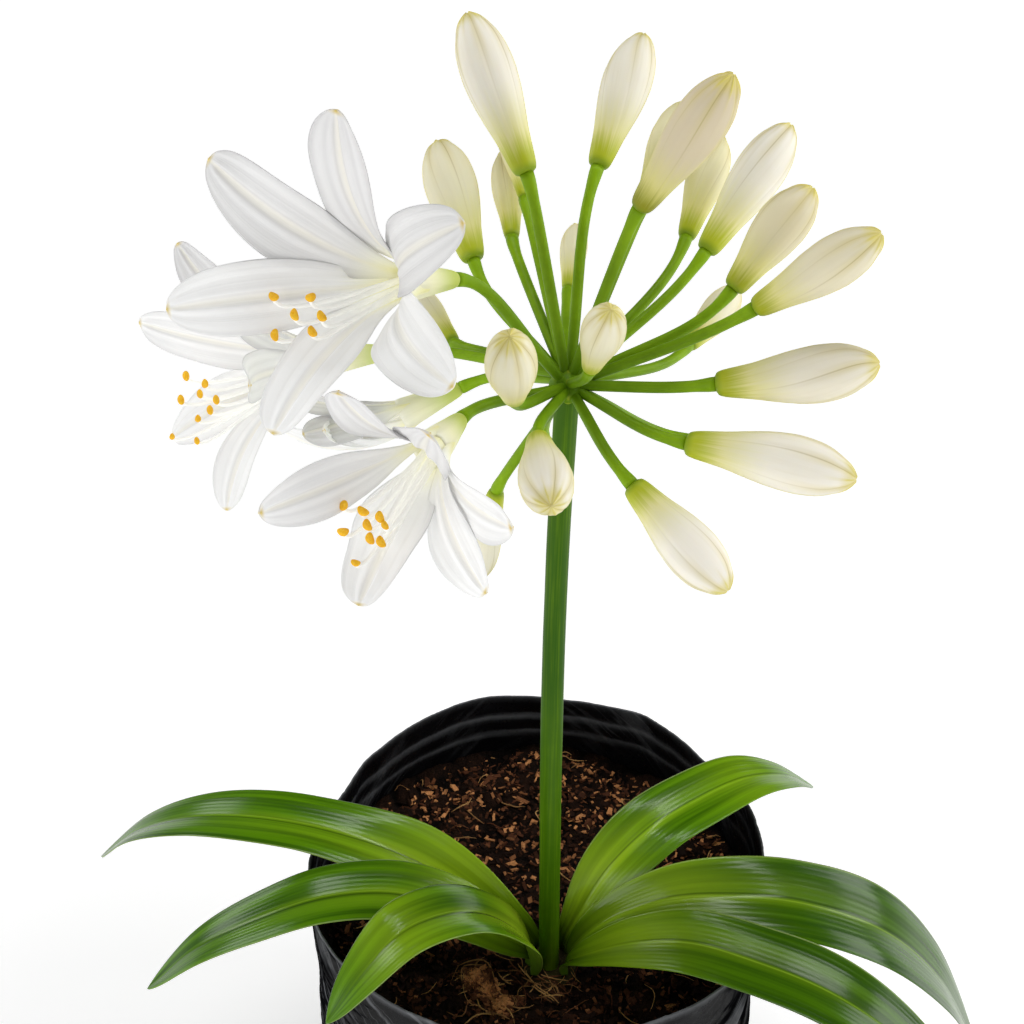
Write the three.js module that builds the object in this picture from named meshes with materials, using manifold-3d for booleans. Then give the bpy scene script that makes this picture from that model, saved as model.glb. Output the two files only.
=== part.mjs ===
// Agapanthus (lily of the Nile) with one white umbel, growing in a black polythene grow bag.
// Millimetres, +Z up. The origin is the centre of the bag's flat bottom, and the plant
// faces -Y. Every piece is placed in this one frame.

import * as THREE from 'three';
import { mergeVertices } from 'three/addons/utils/BufferGeometryUtils.js';
import Module from 'manifold-3d';

const wasm = await Module();
wasm.setup();

// ---------------------------------------------------------------- driving dimensions

const CLEARANCE = 0.3;

// Grow bag: an open round bag of heavy polythene with a creased, uneven mouth.
const BAG_HEIGHT = 150;
const BAG_RADIUS = 80;
const BAG_WALL = 1.1;
const BAG_FOOT_RADIUS = 73;
const BAG_FOOT_ROUNDING = 9;
const SIDES_BETWEEN_FOLDS = 2;
// Folds round the mouth: bearing in degrees, radius, and height above BAG_HEIGHT.
const MOUTH_FOLDS = [
  [-174, 80.5, 0.5],
  [-156, 82.5, -1.0],
  [-132, 81.5, 0.5],
  [-113, 79.5, -0.5],
  [-88, 81.0, 0.5],
  [-64, 80.0, -0.5],
  [-40, 85.0, 0.5],
  [-14, 81.0, -1.0],
  [13, 81.5, 0.5],
  [35, 78.5, -0.5],
  [57, 81.0, 1.0],
  [80, 79.5, -0.5],
  [103, 81.5, 1.0],
  [136, 78.5, 0.0],
  [161, 76.5, -0.5],
];

// Potting mix.
const SOIL_LEVEL = 121;
const SOIL_LUMP = 1.6;

// Rhizome crown that the leaves and the scape grow from.
const PLANT = new THREE.Vector3(4.4, -28, SOIL_LEVEL);
const CROWN_RADIUS = 9.8;
const CROWN_DEPTH = 16;
const CROWN_RISE = 1.4;
const ROOT_RING = 6.9;
const ROOT_THICKNESS = 1.5;

// Flowering stem (scape): through points above the crown, thickest at its foot.
const SCAPE_PATH = [
  [4.4, -28, SOIL_LEVEL - 8],
  [3.6, -28, 243],
  [4.2, -27.4, 296],
  [5.5, -26.4, 340],
  [6, -26, 350],
];
const SCAPE_FOOT_RADIUS = 3.5;
const SCAPE_TOP_RADIUS = 3.2;
const HUB = new THREE.Vector3(6, -26, 350);
const HUB_RADIUS = 5.2;

// Flower stalks (pedicels).
const STALK_RADIUS = 1.45;
const STALK_FOOT_RADIUS = 1.3;
const STALK_HEAD_RADIUS = 1.75;

// Closed buds: joint with the stalk and tip, both from the hub, and greatest thickness.
const BUDS = [
  { joint: [-10.9, 15.4, 51.4], tip: [-25.5, 37.7, 84.1], girth: 14 },
  { joint: [7.9, 34.5, 46], tip: [20.6, 62.1, 72.1], girth: 13.3 },
  { joint: [16.2, 0.1, 48.7], tip: [34.1, -10.4, 83.7], girth: 13 },
  { joint: [21.3, 40.7, 33.8], tip: [35, 72.5, 50], girth: 12.3 },
  { joint: [33.1, 40.6, 23.6], tip: [44.5, 70.1, 41.2], girth: 11.5 },
  { joint: [36.9, 28, 25.1], tip: [60.3, 51.6, 51.1], girth: 13.8 },
  { joint: [41.1, 5, 25], tip: [60.2, 14.9, 47.8], girth: 13.1 },
  { joint: [44.5, -10.4, 27.3], tip: [69.5, -19.5, 50.3], girth: 12.6 },
  { joint: [36.1, 41.2, -9.7], tip: [53.2, 70.7, -6], girth: 10.5 },
  { joint: [35, -19.9, 11.6], tip: [72, -26, 20.4], girth: 14.1 },
  { joint: [27.8, -27.4, -0.6], tip: [66.8, -40.4, -2.6], girth: 14.2 },
  { joint: [14.6, -33.9, -8.4], tip: [37.1, -51.4, -27.4], girth: 13.7 },
  { joint: [-8.3, -33.3, 4.3], tip: [-6.1, -68.5, 8.7], girth: 12.7 },
  { joint: [-14, -30.8, 13.8], tip: [-15, -53.5, 41.5], girth: 11.9 },
  { joint: [4.5, -20, 16], tip: [7.5, -36, 39.3], girth: 10.5 },
  { joint: [1.5, 48, 4.5], tip: [5, 79, 11], girth: 8.2 },
  { joint: [-14.5, 46.5, 21], tip: [-16.5, 80.5, 33], girth: 9.6 },
  { joint: [-25, 36.4, 18.9], tip: [-35.2, 65.3, 41.7], girth: 15 },
  { joint: [-31, 35.3, -5.8], tip: [-45.7, 68.1, -5.3], girth: 10 },
  { joint: [-18.8, 10, -39], tip: [-25.8, 16.5, -75.3], girth: 10.5 },
  { joint: [-11, 50, 31], tip: [-17.1, 80.5, 45.5], girth: 7.5 },
  { joint: [44, 21, -11], tip: [75, 16, -3], girth: 12 },
  { joint: [36.8, 21.5, -29.7], tip: [74.8, 9.5, -31.7], girth: 12 },
  { joint: [-5, 34, -37], tip: [-3, 50, -66], girth: 11 },
];

// Stalks that run straighter, or leave the hub higher, than the rest: how far the bloom's own
// direction is felt, as a share of the stalk's reach, and the lift at the hub.
const STALK_REACH = 0.33;
const STALK_BENDS = {
  bud_01: [0.12, 0],
  bud_03: [0.1, 0],
  bud_17: [0.12, 0],
  bud_19: [0.08, 3],
  bud_20: [0.1, 0],
  flower_left: [0.33, 3],
  flower_inner: [0.33, 2],
};

// Open flowers: joint with the stalk from the hub, direction that the bell faces, and its
// six tepals. Each tepal has its turn round the bell (0 is uppermost), its curl in degrees
// at the tip, its length past the tube, its width and, where it has one, its twist in
// degrees. Anthers: up, aside and along from the joint.
const TUBE_LENGTH = 16;
const THROAT_RADIUS = 4.6;
const TEPAL_THICKNESS = 0.7;
const FLOWERS = {
  flower_upper: {
    joint: [-28, -13, 36],
    facing: [-0.61, -0.73, 0.31],
    tepals: [
      [60, 79, 52.5, 18],
      [357, 76, 50, 18.4],
      [303, 96, 51, 15.8],
      [257, 92.5, 52, 15.6, 24],
      [187, 59, 50.5, 19],
      [114, 59, 54, 16.4],
    ],
    anthers: [
      [-6, 12, 46],
      [-3, 1, 46],
      [-8, 5, 46],
      [-6, -3, 46],
      [-14, 10, 46],
      [-10, -1, 46],
    ],
  },
  flower_left: {
    joint: [-49, 28, -5],
    facing: [-0.92, -0.39, 0.09],
    tepals: [
      [85, 46, 54, 14.5],
      [37, 69, 50, 14, -38],
      [336, 80, 51, 14],
      [291, 83, 50.5, 12.8],
      [215, 77, 51.5, 15, 34],
      [150, 56, 51, 16],
    ],
    anthers: [
      [-2.1, 3, 55.2],
      [-2.5, -2, 51.3],
      [-8.5, 4, 51.5],
      [-8, 1, 57.2],
      [-6.5, -4, 48.9],
      [-11, -1, 50],
      [-14.9, 2, 52.7],
      [-18.3, 0, 60.2],
      [-18.8, -3, 54.2],
    ],
  },
  flower_front: {
    joint: [-26.7, -33.9, 9.8],
    facing: [-0.329, -0.937, 0.115],
    tepals: [
      [77.5, 20.7, 52.3, 12.5, -27],
      [6, 49.7, 51, 14.9, 7],
      [327, 50, 49, 15],
      [279, 60.5, 49, 14.4, -5],
      [242, 61.8, 44.5, 14.6, -5],
      [172, 46.5, 40.5, 19.5, -29],
    ],
    anthers: [
      [-2.5, 8.6, 46],
      [-2.9, 4.1, 46],
      [-3.4, 0.3, 46],
      [-8.8, 8.7, 46],
      [-5.9, 3.2, 46],
      [-9.3, 0.1, 46],
      [-4.8, -1.1, 46.5],
      [-14.5, 5, 48],
      [-9, 2.6, 46],
    ],
  },
  flower_inner: {
    joint: [-29, 29, -16.8],
    facing: [-0.908, -0.15, -0.391],
    tepals: [
      [12, 45, 34, 11],
      [65, 50, 33, 11],
      [140, -90, 32, 9],
      [207, -58, 40.5, 19, -25],
      [255, -70, 33, 11],
      [328, 25, 30, 11],
    ],
    anthers: [
      [6, 2, 36],
      [4, -3, 35],
      [2, 3, 37],
      [1, -2, 35],
      [5, 4, 35],
      [3, 0, 38],
    ],
  },
};

const LEAF_FOOT = 3.7;
// Strap leaves: bearing of the root on the crown, bearing of the blade, and the midrib's
// arch as reach from the crown and height above the soil, with the blade's greatest width
// the share of its length by which it has opened out, and its lean about the midrib, near
// the crown and along the blade.
const LEAVES = {
  leaf_left_back: {
    root: 142,
    heading: 162,
    width: 25,
    opened: 0.32,
    lean: [-42, -2],
    arch: [[21, 23], [47, 37], [76, 41], [105, 38.6], [133, 30.6], [158, 16], [179, -6]],
  },
  leaf_left: {
    root: 181,
    heading: 189,
    width: 24.5,
    opened: 0.42,
    lean: [-32, 0],
    arch: [[16, 19], [32, 35], [52, 47], [74, 49], [96, 42.5], [116, 32.5], [135, 15]],
  },
  leaf_left_front: {
    root: 220,
    heading: 216,
    width: 25,
    opened: 0.44,
    lean: [-14, 0],
    arch: [[9, 18], [16, 32], [27, 46], [41, 56], [58, 59], [73, 50], [86, 37]],
  },
  leaf_right_back: {
    root: 43,
    heading: 32,
    width: 25,
    opened: 0.5,
    lean: [48, 3],
    arch: [[11, 18], [23, 34], [41, 45], [62, 48], [83, 47], [102, 38], [118, 24]],
  },
  leaf_right: {
    root: 2,
    heading: -1,
    width: 38,
    opened: 0.78,
    lean: [44, 5],
    arch: [[19, 24], [39, 35], [62, 37], [85, 33.8], [112, 21.8], [135.5, -3], [157.5, -46]],
  },
  leaf_right_front: {
    root: -40,
    heading: -27,
    width: 28,
    opened: 0.64,
    lean: [38, 3],
    arch: [[17, 17], [32, 30], [50, 40], [71, 43], [92, 43], [111, 37.3], [131, 23], [147, 0]],
  },
};

// ---------------------------------------------------------------- finishes

function finish(color, roughness, metalness = 0) {
  return new THREE.MeshStandardMaterial({ color, roughness, metalness });
}

const blackPolythene = () => finish(0x16171a, 0.28);
const pottingMix = () => finish(0x2e1d14, 0.95);
const rhizome = () => finish(0x5b5a2c, 0.8);
const stemGreen = () => finish(0x3f7a24, 0.45);
const leafGreen = () => finish(0x35741f, 0.35);
const budCream = () => finish(0xf0ecd2, 0.5);
const petalWhite = () => finish(0xf7f7f4, 0.45);

// ---------------------------------------------------------------- solids

const radians = THREE.MathUtils.degToRad;

function vec(triple) {
  return new THREE.Vector3(...triple);
}

// Closed body from cross-section rings: every ring has the same number of points, and both
// end rings are closed by a fan to their own middle. From ring number `returning` on, the
// rings run back beside the first ones, and the quads are split the other way, so that both
// faces of a thin wall have the same creases.
function loft(rings, returning = Infinity) {
  const around = rings[0].length;
  const points = rings.flat();
  const faces = [];
  for (let i = 0; i + 1 < rings.length; i += 1) {
    for (let j = 0; j < around; j += 1) {
      const a = i * around + j;
      const b = i * around + ((j + 1) % around);
      if (i < returning) faces.push(a, b, b + around, a, b + around, a + around);
      else faces.push(a, b, a + around, b, b + around, a + around);
    }
  }
  for (const [ring, start, flip] of [
    [rings[0], 0, true],
    [rings.at(-1), (rings.length - 1) * around, false],
  ]) {
    const middle = new THREE.Vector3();
    ring.forEach((point) => middle.addScaledVector(point, 1 / around));
    const centre = points.push(middle) - 1;
    for (let j = 0; j < around; j += 1) {
      const a = start + j;
      const b = start + ((j + 1) % around);
      if (flip) faces.push(b, a, centre);
      else faces.push(a, b, centre);
    }
  }
  return outward(points, faces);
}

// Closed thin blade from two matching grids of points, its upper and its under face.
function blade(upper, under) {
  const rows = upper.length;
  const across = upper[0].length;
  const points = [...upper.flat(), ...under.flat()];
  const shift = rows * across;
  const faces = [];
  const quad = (a, b, c, d) => faces.push(a, b, c, a, c, d);
  for (let i = 0; i + 1 < rows; i += 1) {
    for (let j = 0; j + 1 < across; j += 1) {
      const a = i * across + j;
      const d = a + across;
      faces.push(a, a + 1, d + 1, a, d + 1, d);
      faces.push(shift + a, shift + d + 1, shift + a + 1, shift + a, shift + d, shift + d + 1);
    }
  }
  for (let i = 0; i + 1 < rows; i += 1) {
    const a = i * across;
    const b = a + across - 1;
    quad(a, a + across, shift + a + across, shift + a);
    quad(b + across, b, shift + b, shift + b + across);
  }
  for (let j = 0; j + 1 < across; j += 1) {
    const end = (rows - 1) * across + j;
    quad(j + 1, j, shift + j, shift + j + 1);
    quad(end, end + 1, shift + end + 1, shift + end);
  }
  return outward(points, faces);
}

// Indexed geometry whose faces point outward, whichever way its rings were wound.
function outward(points, faces) {
  let volume = 0;
  for (let i = 0; i < faces.length; i += 3) {
    const [a, b, c] = [points[faces[i]], points[faces[i + 1]], points[faces[i + 2]]];
    volume += a.dot(new THREE.Vector3().crossVectors(b, c));
  }
  if (volume < 0) faces.reverse();
  const geometry = new THREE.BufferGeometry().setFromPoints(points);
  geometry.setIndex(faces);
  return geometry;
}

// Ring of points about a centre in the plane of two directions.
function ring(centre, right, up, radius, sides) {
  return Array.from({ length: sides }, (_, i) => {
    const angle = (2 * Math.PI * i) / sides;
    const reach = typeof radius === 'function' ? radius(angle) : radius;
    return centre
      .clone()
      .addScaledVector(right, reach * Math.cos(angle))
      .addScaledVector(up, reach * Math.sin(angle));
  });
}

// Round rod along a curve, its radius given along the way from 0 to 1.
function rod(curve, steps, sides, radiusAt) {
  const frames = curve.computeFrenetFrames(steps, false);
  const rings = frames.tangents.map((_, i) => {
    const t = i / steps;
    return ring(curve.getPointAt(t), frames.normals[i], frames.binormals[i], radiusAt(t), sides);
  });
  return loft(rings);
}

// Two directions square to an axis: `up` leans as near to +Z as it can.
function across(axis) {
  const up = new THREE.Vector3(0, 0, 1);
  up.addScaledVector(axis, -up.dot(axis)).normalize();
  const side = new THREE.Vector3().crossVectors(axis, up);
  return { up, side };
}

function toManifold(geometry) {
  const plain = geometry.clone();
  plain.deleteAttribute('normal');
  plain.deleteAttribute('uv');
  const merged = mergeVertices(plain, 1e-4);
  return new wasm.Manifold(
    new wasm.Mesh({
      numProp: 3,
      vertProperties: Float32Array.from(merged.attributes.position.array),
      triVerts: Uint32Array.from(merged.index.array),
    }),
  );
}

function fromManifold(solid) {
  const { vertProperties, triVerts } = solid.getMesh();
  const geometry = new THREE.BufferGeometry();
  geometry.setAttribute('position', new THREE.BufferAttribute(vertProperties, 3));
  geometry.setIndex(new THREE.BufferAttribute(triVerts, 1));
  return geometry;
}

function fuse(geometries) {
  return fromManifold(geometries.map(toManifold).reduce((whole, piece) => whole.add(piece)));
}

function cut(geometry, tool) {
  return fromManifold(toManifold(geometry).subtract(toManifold(tool)));
}

// ---------------------------------------------------------------- grow bag and soil

const BEARINGS = MOUTH_FOLDS.flatMap(([bearing], i) => {
  const next = i + 1 < MOUTH_FOLDS.length ? MOUTH_FOLDS[i + 1][0] : MOUTH_FOLDS[0][0] + 360;
  return Array.from(
    { length: SIDES_BETWEEN_FOLDS },
    (_, k) => bearing + ((next - bearing) * k) / SIDES_BETWEEN_FOLDS,
  );
});

// Radius and height of the mouth at side number i, drawn nearly straight between folds.
function mouthAt(i) {
  const from = MOUTH_FOLDS[Math.floor(i / SIDES_BETWEEN_FOLDS) % MOUTH_FOLDS.length];
  const to = MOUTH_FOLDS[(Math.floor(i / SIDES_BETWEEN_FOLDS) + 1) % MOUTH_FOLDS.length];
  const t = (i % SIDES_BETWEEN_FOLDS) / SIDES_BETWEEN_FOLDS;
  const sag = 1.1 * Math.sin(Math.PI * t);
  return {
    radius: THREE.MathUtils.lerp(from[1], to[1], t) - sag * 0.6,
    height: BAG_HEIGHT + THREE.MathUtils.lerp(from[2], to[2], t),
  };
}

// The bag's outside radius at side i and height z: a rounded foot, a full middle where the
// soil presses it out, slanting creases, and the folded mouth above the soil.
function bagRadius(i, z) {
  const bearing = radians(BEARINGS[i]);
  const foot = THREE.MathUtils.smoothstep(z, 0, BAG_FOOT_ROUNDING);
  const swell = THREE.MathUtils.smoothstep(z, 0, 70);
  const free = THREE.MathUtils.smoothstep(z, SOIL_LEVEL - 25, BAG_HEIGHT);
  const full = THREE.MathUtils.lerp(BAG_FOOT_RADIUS + 3, BAG_RADIUS + 0.5, swell);
  const crease = 0.7 * Math.sin(9 * bearing + z / 17) + 0.5 * Math.sin(14 * bearing - z / 11);
  const pressed = full + crease * swell * (1 - free);
  const round = THREE.MathUtils.lerp(pressed, mouthAt(i).radius, free);
  return round - (1 - foot) * 3.5;
}

function bagRing(z, inset, lifted = false) {
  return BEARINGS.map((bearing, i) => {
    const mouth = mouthAt(i);
    const height = lifted ? mouth.height : z;
    const reach = bagRadius(i, z) - inset;
    const angle = radians(bearing);
    return new THREE.Vector3(reach * Math.cos(angle), reach * Math.sin(angle), height);
  });
}

const BAG_LEVELS = [BAG_WALL, 10, 50, 88, SOIL_LEVEL];

function growBag() {
  const outer = [0, ...BAG_LEVELS.slice(1), 137].map((z) => bagRing(z, 0));
  const mouthOutside = bagRing(BAG_HEIGHT, 0, true);
  const mouthInside = bagRing(BAG_HEIGHT, BAG_WALL, true);
  const inner = [137, ...BAG_LEVELS.slice().reverse()].map((z) => bagRing(z, BAG_WALL));
  return loft([...outer, mouthOutside, mouthInside, ...inner], outer.length);
}

// Gentle lumps of the soil's surface at a point.
function soilHeight(x, y) {
  const wide = Math.sin(x / 13 + 1.1) * Math.cos(y / 11 - 0.4);
  const fine = Math.sin(x / 5.3 - y / 6.1 + 0.7) * 0.45;
  return SOIL_LEVEL + SOIL_LUMP * (wide + fine);
}

function soil() {
  const inset = BAG_WALL + CLEARANCE;
  const levels = [BAG_WALL + CLEARANCE, ...BAG_LEVELS.slice(1)];
  const body = levels.map((z) => bagRing(z, inset));
  const edge = body.at(-1);
  const top = [0.9, 0.72, 0.52, 0.32, 0.14].map((share) =>
    edge.map((point) => {
      const x = THREE.MathUtils.lerp(PLANT.x, point.x, share);
      const y = THREE.MathUtils.lerp(PLANT.y, point.y, share);
      return new THREE.Vector3(x, y, share > 0.2 ? soilHeight(x, y) : SOIL_LEVEL);
    }),
  );
  const hole = crownShape(CROWN_RADIUS + CLEARANCE, CROWN_DEPTH + CLEARANCE, 12);
  return cut(loft([...body, ...top]), hole);
}

// ---------------------------------------------------------------- crown, leaves and scape

function crownShape(radius, depth, rise) {
  const right = new THREE.Vector3(1, 0, 0);
  const ahead = new THREE.Vector3(0, 1, 0);
  const at = (z) => PLANT.clone().setZ(SOIL_LEVEL + z);
  return loft([
    ring(at(-depth), right, ahead, radius * 0.7, 16),
    ring(at(-depth * 0.6), right, ahead, radius, 16),
    ring(at(rise), right, ahead, radius, 16),
  ]);
}

function crown() {
  const right = new THREE.Vector3(1, 0, 0);
  const ahead = new THREE.Vector3(0, 1, 0);
  const at = (z) => PLANT.clone().setZ(SOIL_LEVEL + z);
  const socket = loft([
    ring(at(-8 - CLEARANCE), right, ahead, SCAPE_FOOT_RADIUS + CLEARANCE + 0.1, 16),
    ring(at(12), right, ahead, SCAPE_FOOT_RADIUS + CLEARANCE + 0.1, 16),
  ]);
  return cut(crownShape(CROWN_RADIUS, CROWN_DEPTH, CROWN_RISE), socket);
}

// A leaf's width along its length: a folded narrow foot, a broad middle and a long taper to
// the point.
function leafWidth(t, width, opened) {
  const opening = width - (width - LEAF_FOOT) * (1 - Math.min(1, t / opened)) ** 2;
  const taper = Math.max(0, 1 - Math.max(0, (t - 0.45) / 0.55) ** 2.3) ** 0.72;
  return opening * taper;
}

function leaf({ root, heading, width, opened, lean, arch }) {
  const foot = PLANT.clone();
  foot.x += ROOT_RING * Math.cos(radians(root));
  foot.y += ROOT_RING * Math.sin(radians(root));
  foot.z += CROWN_RISE + CLEARANCE;
  const blend = foot.clone();
  blend.z += 5;
  const points = arch.map(([reach, height]) => {
    const x = PLANT.x + reach * Math.cos(radians(heading));
    const y = PLANT.y + reach * Math.sin(radians(heading));
    return new THREE.Vector3(x, y, SOIL_LEVEL + height);
  });
  const midrib = new THREE.CatmullRomCurve3([foot, blend, ...points], false, 'centripetal');
  const steps = 11;
  const upper = [];
  const under = [];
  for (let i = 0; i <= steps; i += 1) {
    const t = i / steps;
    const centre = midrib.getPointAt(t);
    const along = midrib.getTangentAt(t);
    if (i === 0) along.set(0, 0, 1);
    const turn = radians(THREE.MathUtils.lerp(root, heading, Math.min(1, t * 5)));
    const side = new THREE.Vector3(-Math.sin(turn), Math.cos(turn), 0);
    side.addScaledVector(along, -side.dot(along)).normalize();
    const settled = THREE.MathUtils.smoothstep(t, 0.1, 0.5);
    const tilt = lean[0] * THREE.MathUtils.smoothstep(t, 0, 0.1) * (1 - settled);
    side.applyAxisAngle(along, radians(tilt + lean[1] * settled));
    const face = new THREE.Vector3().crossVectors(along, side);
    const half = Math.max(leafWidth(t, width, opened) / 2, 0.8);
    const fold = radians(THREE.MathUtils.lerp(26, 9, THREE.MathUtils.smoothstep(t, 0, 0.4)));
    const thick = THREE.MathUtils.lerp(ROOT_THICKNESS, 1.0, Math.min(1, t * 2));
    const row = [-1, -0.5, 0, 0.5, 1].map((u) =>
      centre
        .clone()
        .addScaledVector(side, u * half * Math.cos(fold))
        .addScaledVector(face, Math.abs(u) * half * Math.sin(fold)),
    );
    upper.push(row);
    under.push(
      row.map((point, k) => {
        const edge = Math.abs(k - 2) / 2;
        return point.clone().addScaledVector(face, -thick * (1 - 0.35 * edge));
      }),
    );
  }
  return blade(upper, under);
}

// Stalk from the hub to a joint: it leaves the hub straight and ends facing along the bloom.
function stalk(joint, facing, [share, lift]) {
  const reach = joint.length();
  const start = new THREE.Vector3(0, 0, lift);
  const out = joint.clone().normalize();
  const head = joint.clone().addScaledVector(facing, -CLEARANCE);
  const curve = new THREE.CubicBezierCurve3(
    start,
    start.clone().addScaledVector(out, reach * 0.45),
    head.clone().addScaledVector(facing, -reach * share),
    head,
  );
  return rod(curve, 4, 5, (t) => {
    const swelling = THREE.MathUtils.smoothstep(t, 0.86, 1) * (STALK_HEAD_RADIUS - STALK_RADIUS);
    return THREE.MathUtils.lerp(STALK_FOOT_RADIUS, STALK_RADIUS, Math.min(1, t * 3)) + swelling;
  });
}

function scape() {
  const path = new THREE.CatmullRomCurve3(SCAPE_PATH.map(vec), false, 'centripetal');
  const stem = rod(path, 9, 12, (t) =>
    THREE.MathUtils.lerp(SCAPE_FOOT_RADIUS, SCAPE_TOP_RADIUS, t),
  );
  const knob = new THREE.IcosahedronGeometry(HUB_RADIUS, 1);
  knob.scale(1, 1, 0.85);
  knob.translate(HUB.x, HUB.y, HUB.z);
  const stalks = blooms().map(({ joint, facing, bend }) => {
    const geometry = stalk(joint, facing, bend);
    geometry.translate(HUB.x, HUB.y, HUB.z);
    return geometry;
  });
  return fuse([stem, knob, ...stalks]);
}

function budName(i) {
  return `bud_${String(i + 1).padStart(2, '0')}`;
}

function blooms() {
  const closed = BUDS.map(({ joint, tip }, i) => ({
    joint: vec(joint),
    facing: vec(tip).sub(vec(joint)).normalize(),
    bend: STALK_BENDS[budName(i)] ?? [STALK_REACH, 0],
  }));
  const open = Object.entries(FLOWERS).map(([name, { joint, facing }]) => ({
    joint: vec(joint),
    facing: vec(facing).normalize(),
    bend: STALK_BENDS[name] ?? [STALK_REACH, 0],
  }));
  return [...closed, ...open];
}

// ---------------------------------------------------------------- buds and flowers

// A bud's outline: share of its length, share of its greatest radius.
const BUD_OUTLINE = [
  [0, 0.3], [0.06, 0.5], [0.25, 0.66], [0.5, 0.95], [0.74, 0.97], [0.9, 0.66], [0.985, 0.18],
];

function bud({ joint, tip, girth }) {
  const start = vec(joint).add(HUB);
  const end = vec(tip).add(HUB);
  const axis = end.clone().sub(start);
  const facing = axis.clone().normalize();
  const { up, side } = across(facing);
  const rings = BUD_OUTLINE.map(([along, share]) => {
    const ribs = 0.055 * Math.min(1, share * 1.2);
    const radius = (angle) => (girth / 2) * share * (1 - ribs + ribs * Math.cos(6 * angle));
    return ring(start.clone().addScaledVector(axis, along), side, up, radius, 12);
  });
  return loft(rings);
}

// Share of a tepal's greatest width along its length.
function tepalWidth(t) {
  const opening = 0.2 + 0.8 * Math.sin((Math.PI / 2) * Math.min(1, t / 0.6)) ** 1.5;
  const taper = Math.sqrt(Math.max(0, 1 - Math.max(0, (t - 0.6) / 0.4) ** 2.4));
  return Math.max(0.07, opening * taper);
}

// One tepal: it leaves the throat near the bell's axis and bends outward evenly to its
// curl, dished along its middle and twisted about it. Its whorl moves it in or out, so that
// neighbours pass.
function tepal(throat, facing, [turn, curl, length, width, twist = 0], whorl) {
  const { up, side } = across(facing);
  const out = up.clone().multiplyScalar(Math.cos(radians(turn)));
  out.addScaledVector(side, Math.sin(radians(turn)));
  const aside = new THREE.Vector3().crossVectors(facing, out);
  const rows = 5;
  const leave = radians(12);
  const bend = radians(curl) - leave;
  const at = (s) => ({
    ahead: (length / bend) * (Math.sin(leave + bend * s) - Math.sin(leave)),
    reach: (length / bend) * (Math.cos(leave) - Math.cos(leave + bend * s)),
  });
  const upper = [];
  const under = [];
  for (let i = 0; i <= rows; i += 1) {
    const s = -0.05 + (1.05 * i) / rows;
    const { ahead, reach } = at(s);
    const slope = leave + bend * s;
    const centre = throat
      .clone()
      .addScaledVector(facing, ahead)
      .addScaledVector(out, THROAT_RADIUS - 1.2 + whorl + reach);
    const inward = facing
      .clone()
      .multiplyScalar(Math.sin(slope))
      .addScaledVector(out, -Math.cos(slope));
    const wound = radians(twist * THREE.MathUtils.smoothstep(s, 0.15, 0.7));
    const spread = aside.clone().multiplyScalar(Math.cos(wound));
    spread.addScaledVector(inward, -Math.sin(wound));
    inward.multiplyScalar(Math.cos(wound)).addScaledVector(aside, Math.sin(wound));
    const half = (width * tepalWidth(Math.max(0, s))) / 2;
    const dish = 0.34 * half * (1 - 0.75 * Math.max(0, s));
    const row = [-1, 0, 1].map((u) =>
      centre
        .clone()
        .addScaledVector(spread, u * half)
        .addScaledVector(inward, dish * u * u),
    );
    upper.push(row);
    under.push(row.map((point) => point.clone().addScaledVector(inward, -TEPAL_THICKNESS)));
  }
  return blade(upper, under);
}

// Flower tube: a slim trumpet from the joint, hollowed a little at its throat.
function tube(start, facing) {
  const { up, side } = across(facing);
  const outline = [
    [0, 1.8],
    [6, 2.9],
    [TUBE_LENGTH + 2, THROAT_RADIUS],
    [TUBE_LENGTH - 1, THROAT_RADIUS - 2.6],
  ];
  return loft(
    outline.map(([ahead, radius]) =>
      ring(start.clone().addScaledVector(facing, ahead), side, up, radius, 8),
    ),
  );
}

// Stamen: a filament out of the throat that ends in a small bean of an anther.
function stamen(start, facing, [rise, aside, ahead], spread) {
  const { up, side } = across(facing);
  const place = (x, y, z) =>
    start
      .clone()
      .addScaledVector(facing, x)
      .addScaledVector(up, y)
      .addScaledVector(side, z);
  const angle = spread * 2 * Math.PI;
  const root = place(TUBE_LENGTH - 3, 1.6 * Math.cos(angle), 1.6 * Math.sin(angle));
  const end = place(ahead, rise, aside);
  const curve = new THREE.CubicBezierCurve3(
    root,
    place(TUBE_LENGTH + 8, 1.8 * Math.cos(angle), 1.8 * Math.sin(angle)),
    place(ahead - 2, rise - 3, aside),
    end,
  );
  const filament = rod(curve, 4, 3, () => 0.6);
  const anther = new THREE.OctahedronGeometry(1.5, 0);
  anther.scale(1.35, 0.8, 0.8);
  anther.translate(end.x, end.y, end.z);
  return [filament, anther];
}

function flower({ joint, facing, tepals, anthers }) {
  const start = vec(joint).add(HUB);
  const ahead = vec(facing).normalize();
  const throat = start.clone().addScaledVector(ahead, TUBE_LENGTH);
  const pieces = [tube(start, ahead)];
  tepals.forEach((row, i) => pieces.push(tepal(throat, ahead, row, i % 2 ? 0.5 : -0.5)));
  anthers.forEach((place, i) => {
    pieces.push(...stamen(start, ahead, place, i / anthers.length));
  });
  return fuse(pieces);
}

// ---------------------------------------------------------------- the plant

const plant = new THREE.Group();

function place(name, geometry, material) {
  const mesh = new THREE.Mesh(geometry, material);
  mesh.name = name;
  plant.add(mesh);
}

place('grow_bag', growBag(), blackPolythene());
place('soil', soil(), pottingMix());
place('crown', crown(), rhizome());
place('scape', scape(), stemGreen());
for (const [name, values] of Object.entries(LEAVES)) {
  place(name, leaf(values), leafGreen());
}
BUDS.forEach((values, i) => {
  place(budName(i), bud(values), budCream());
});
for (const [name, values] of Object.entries(FLOWERS)) {
  place(name, flower(values), petalWhite());
}

export default plant;
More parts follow.
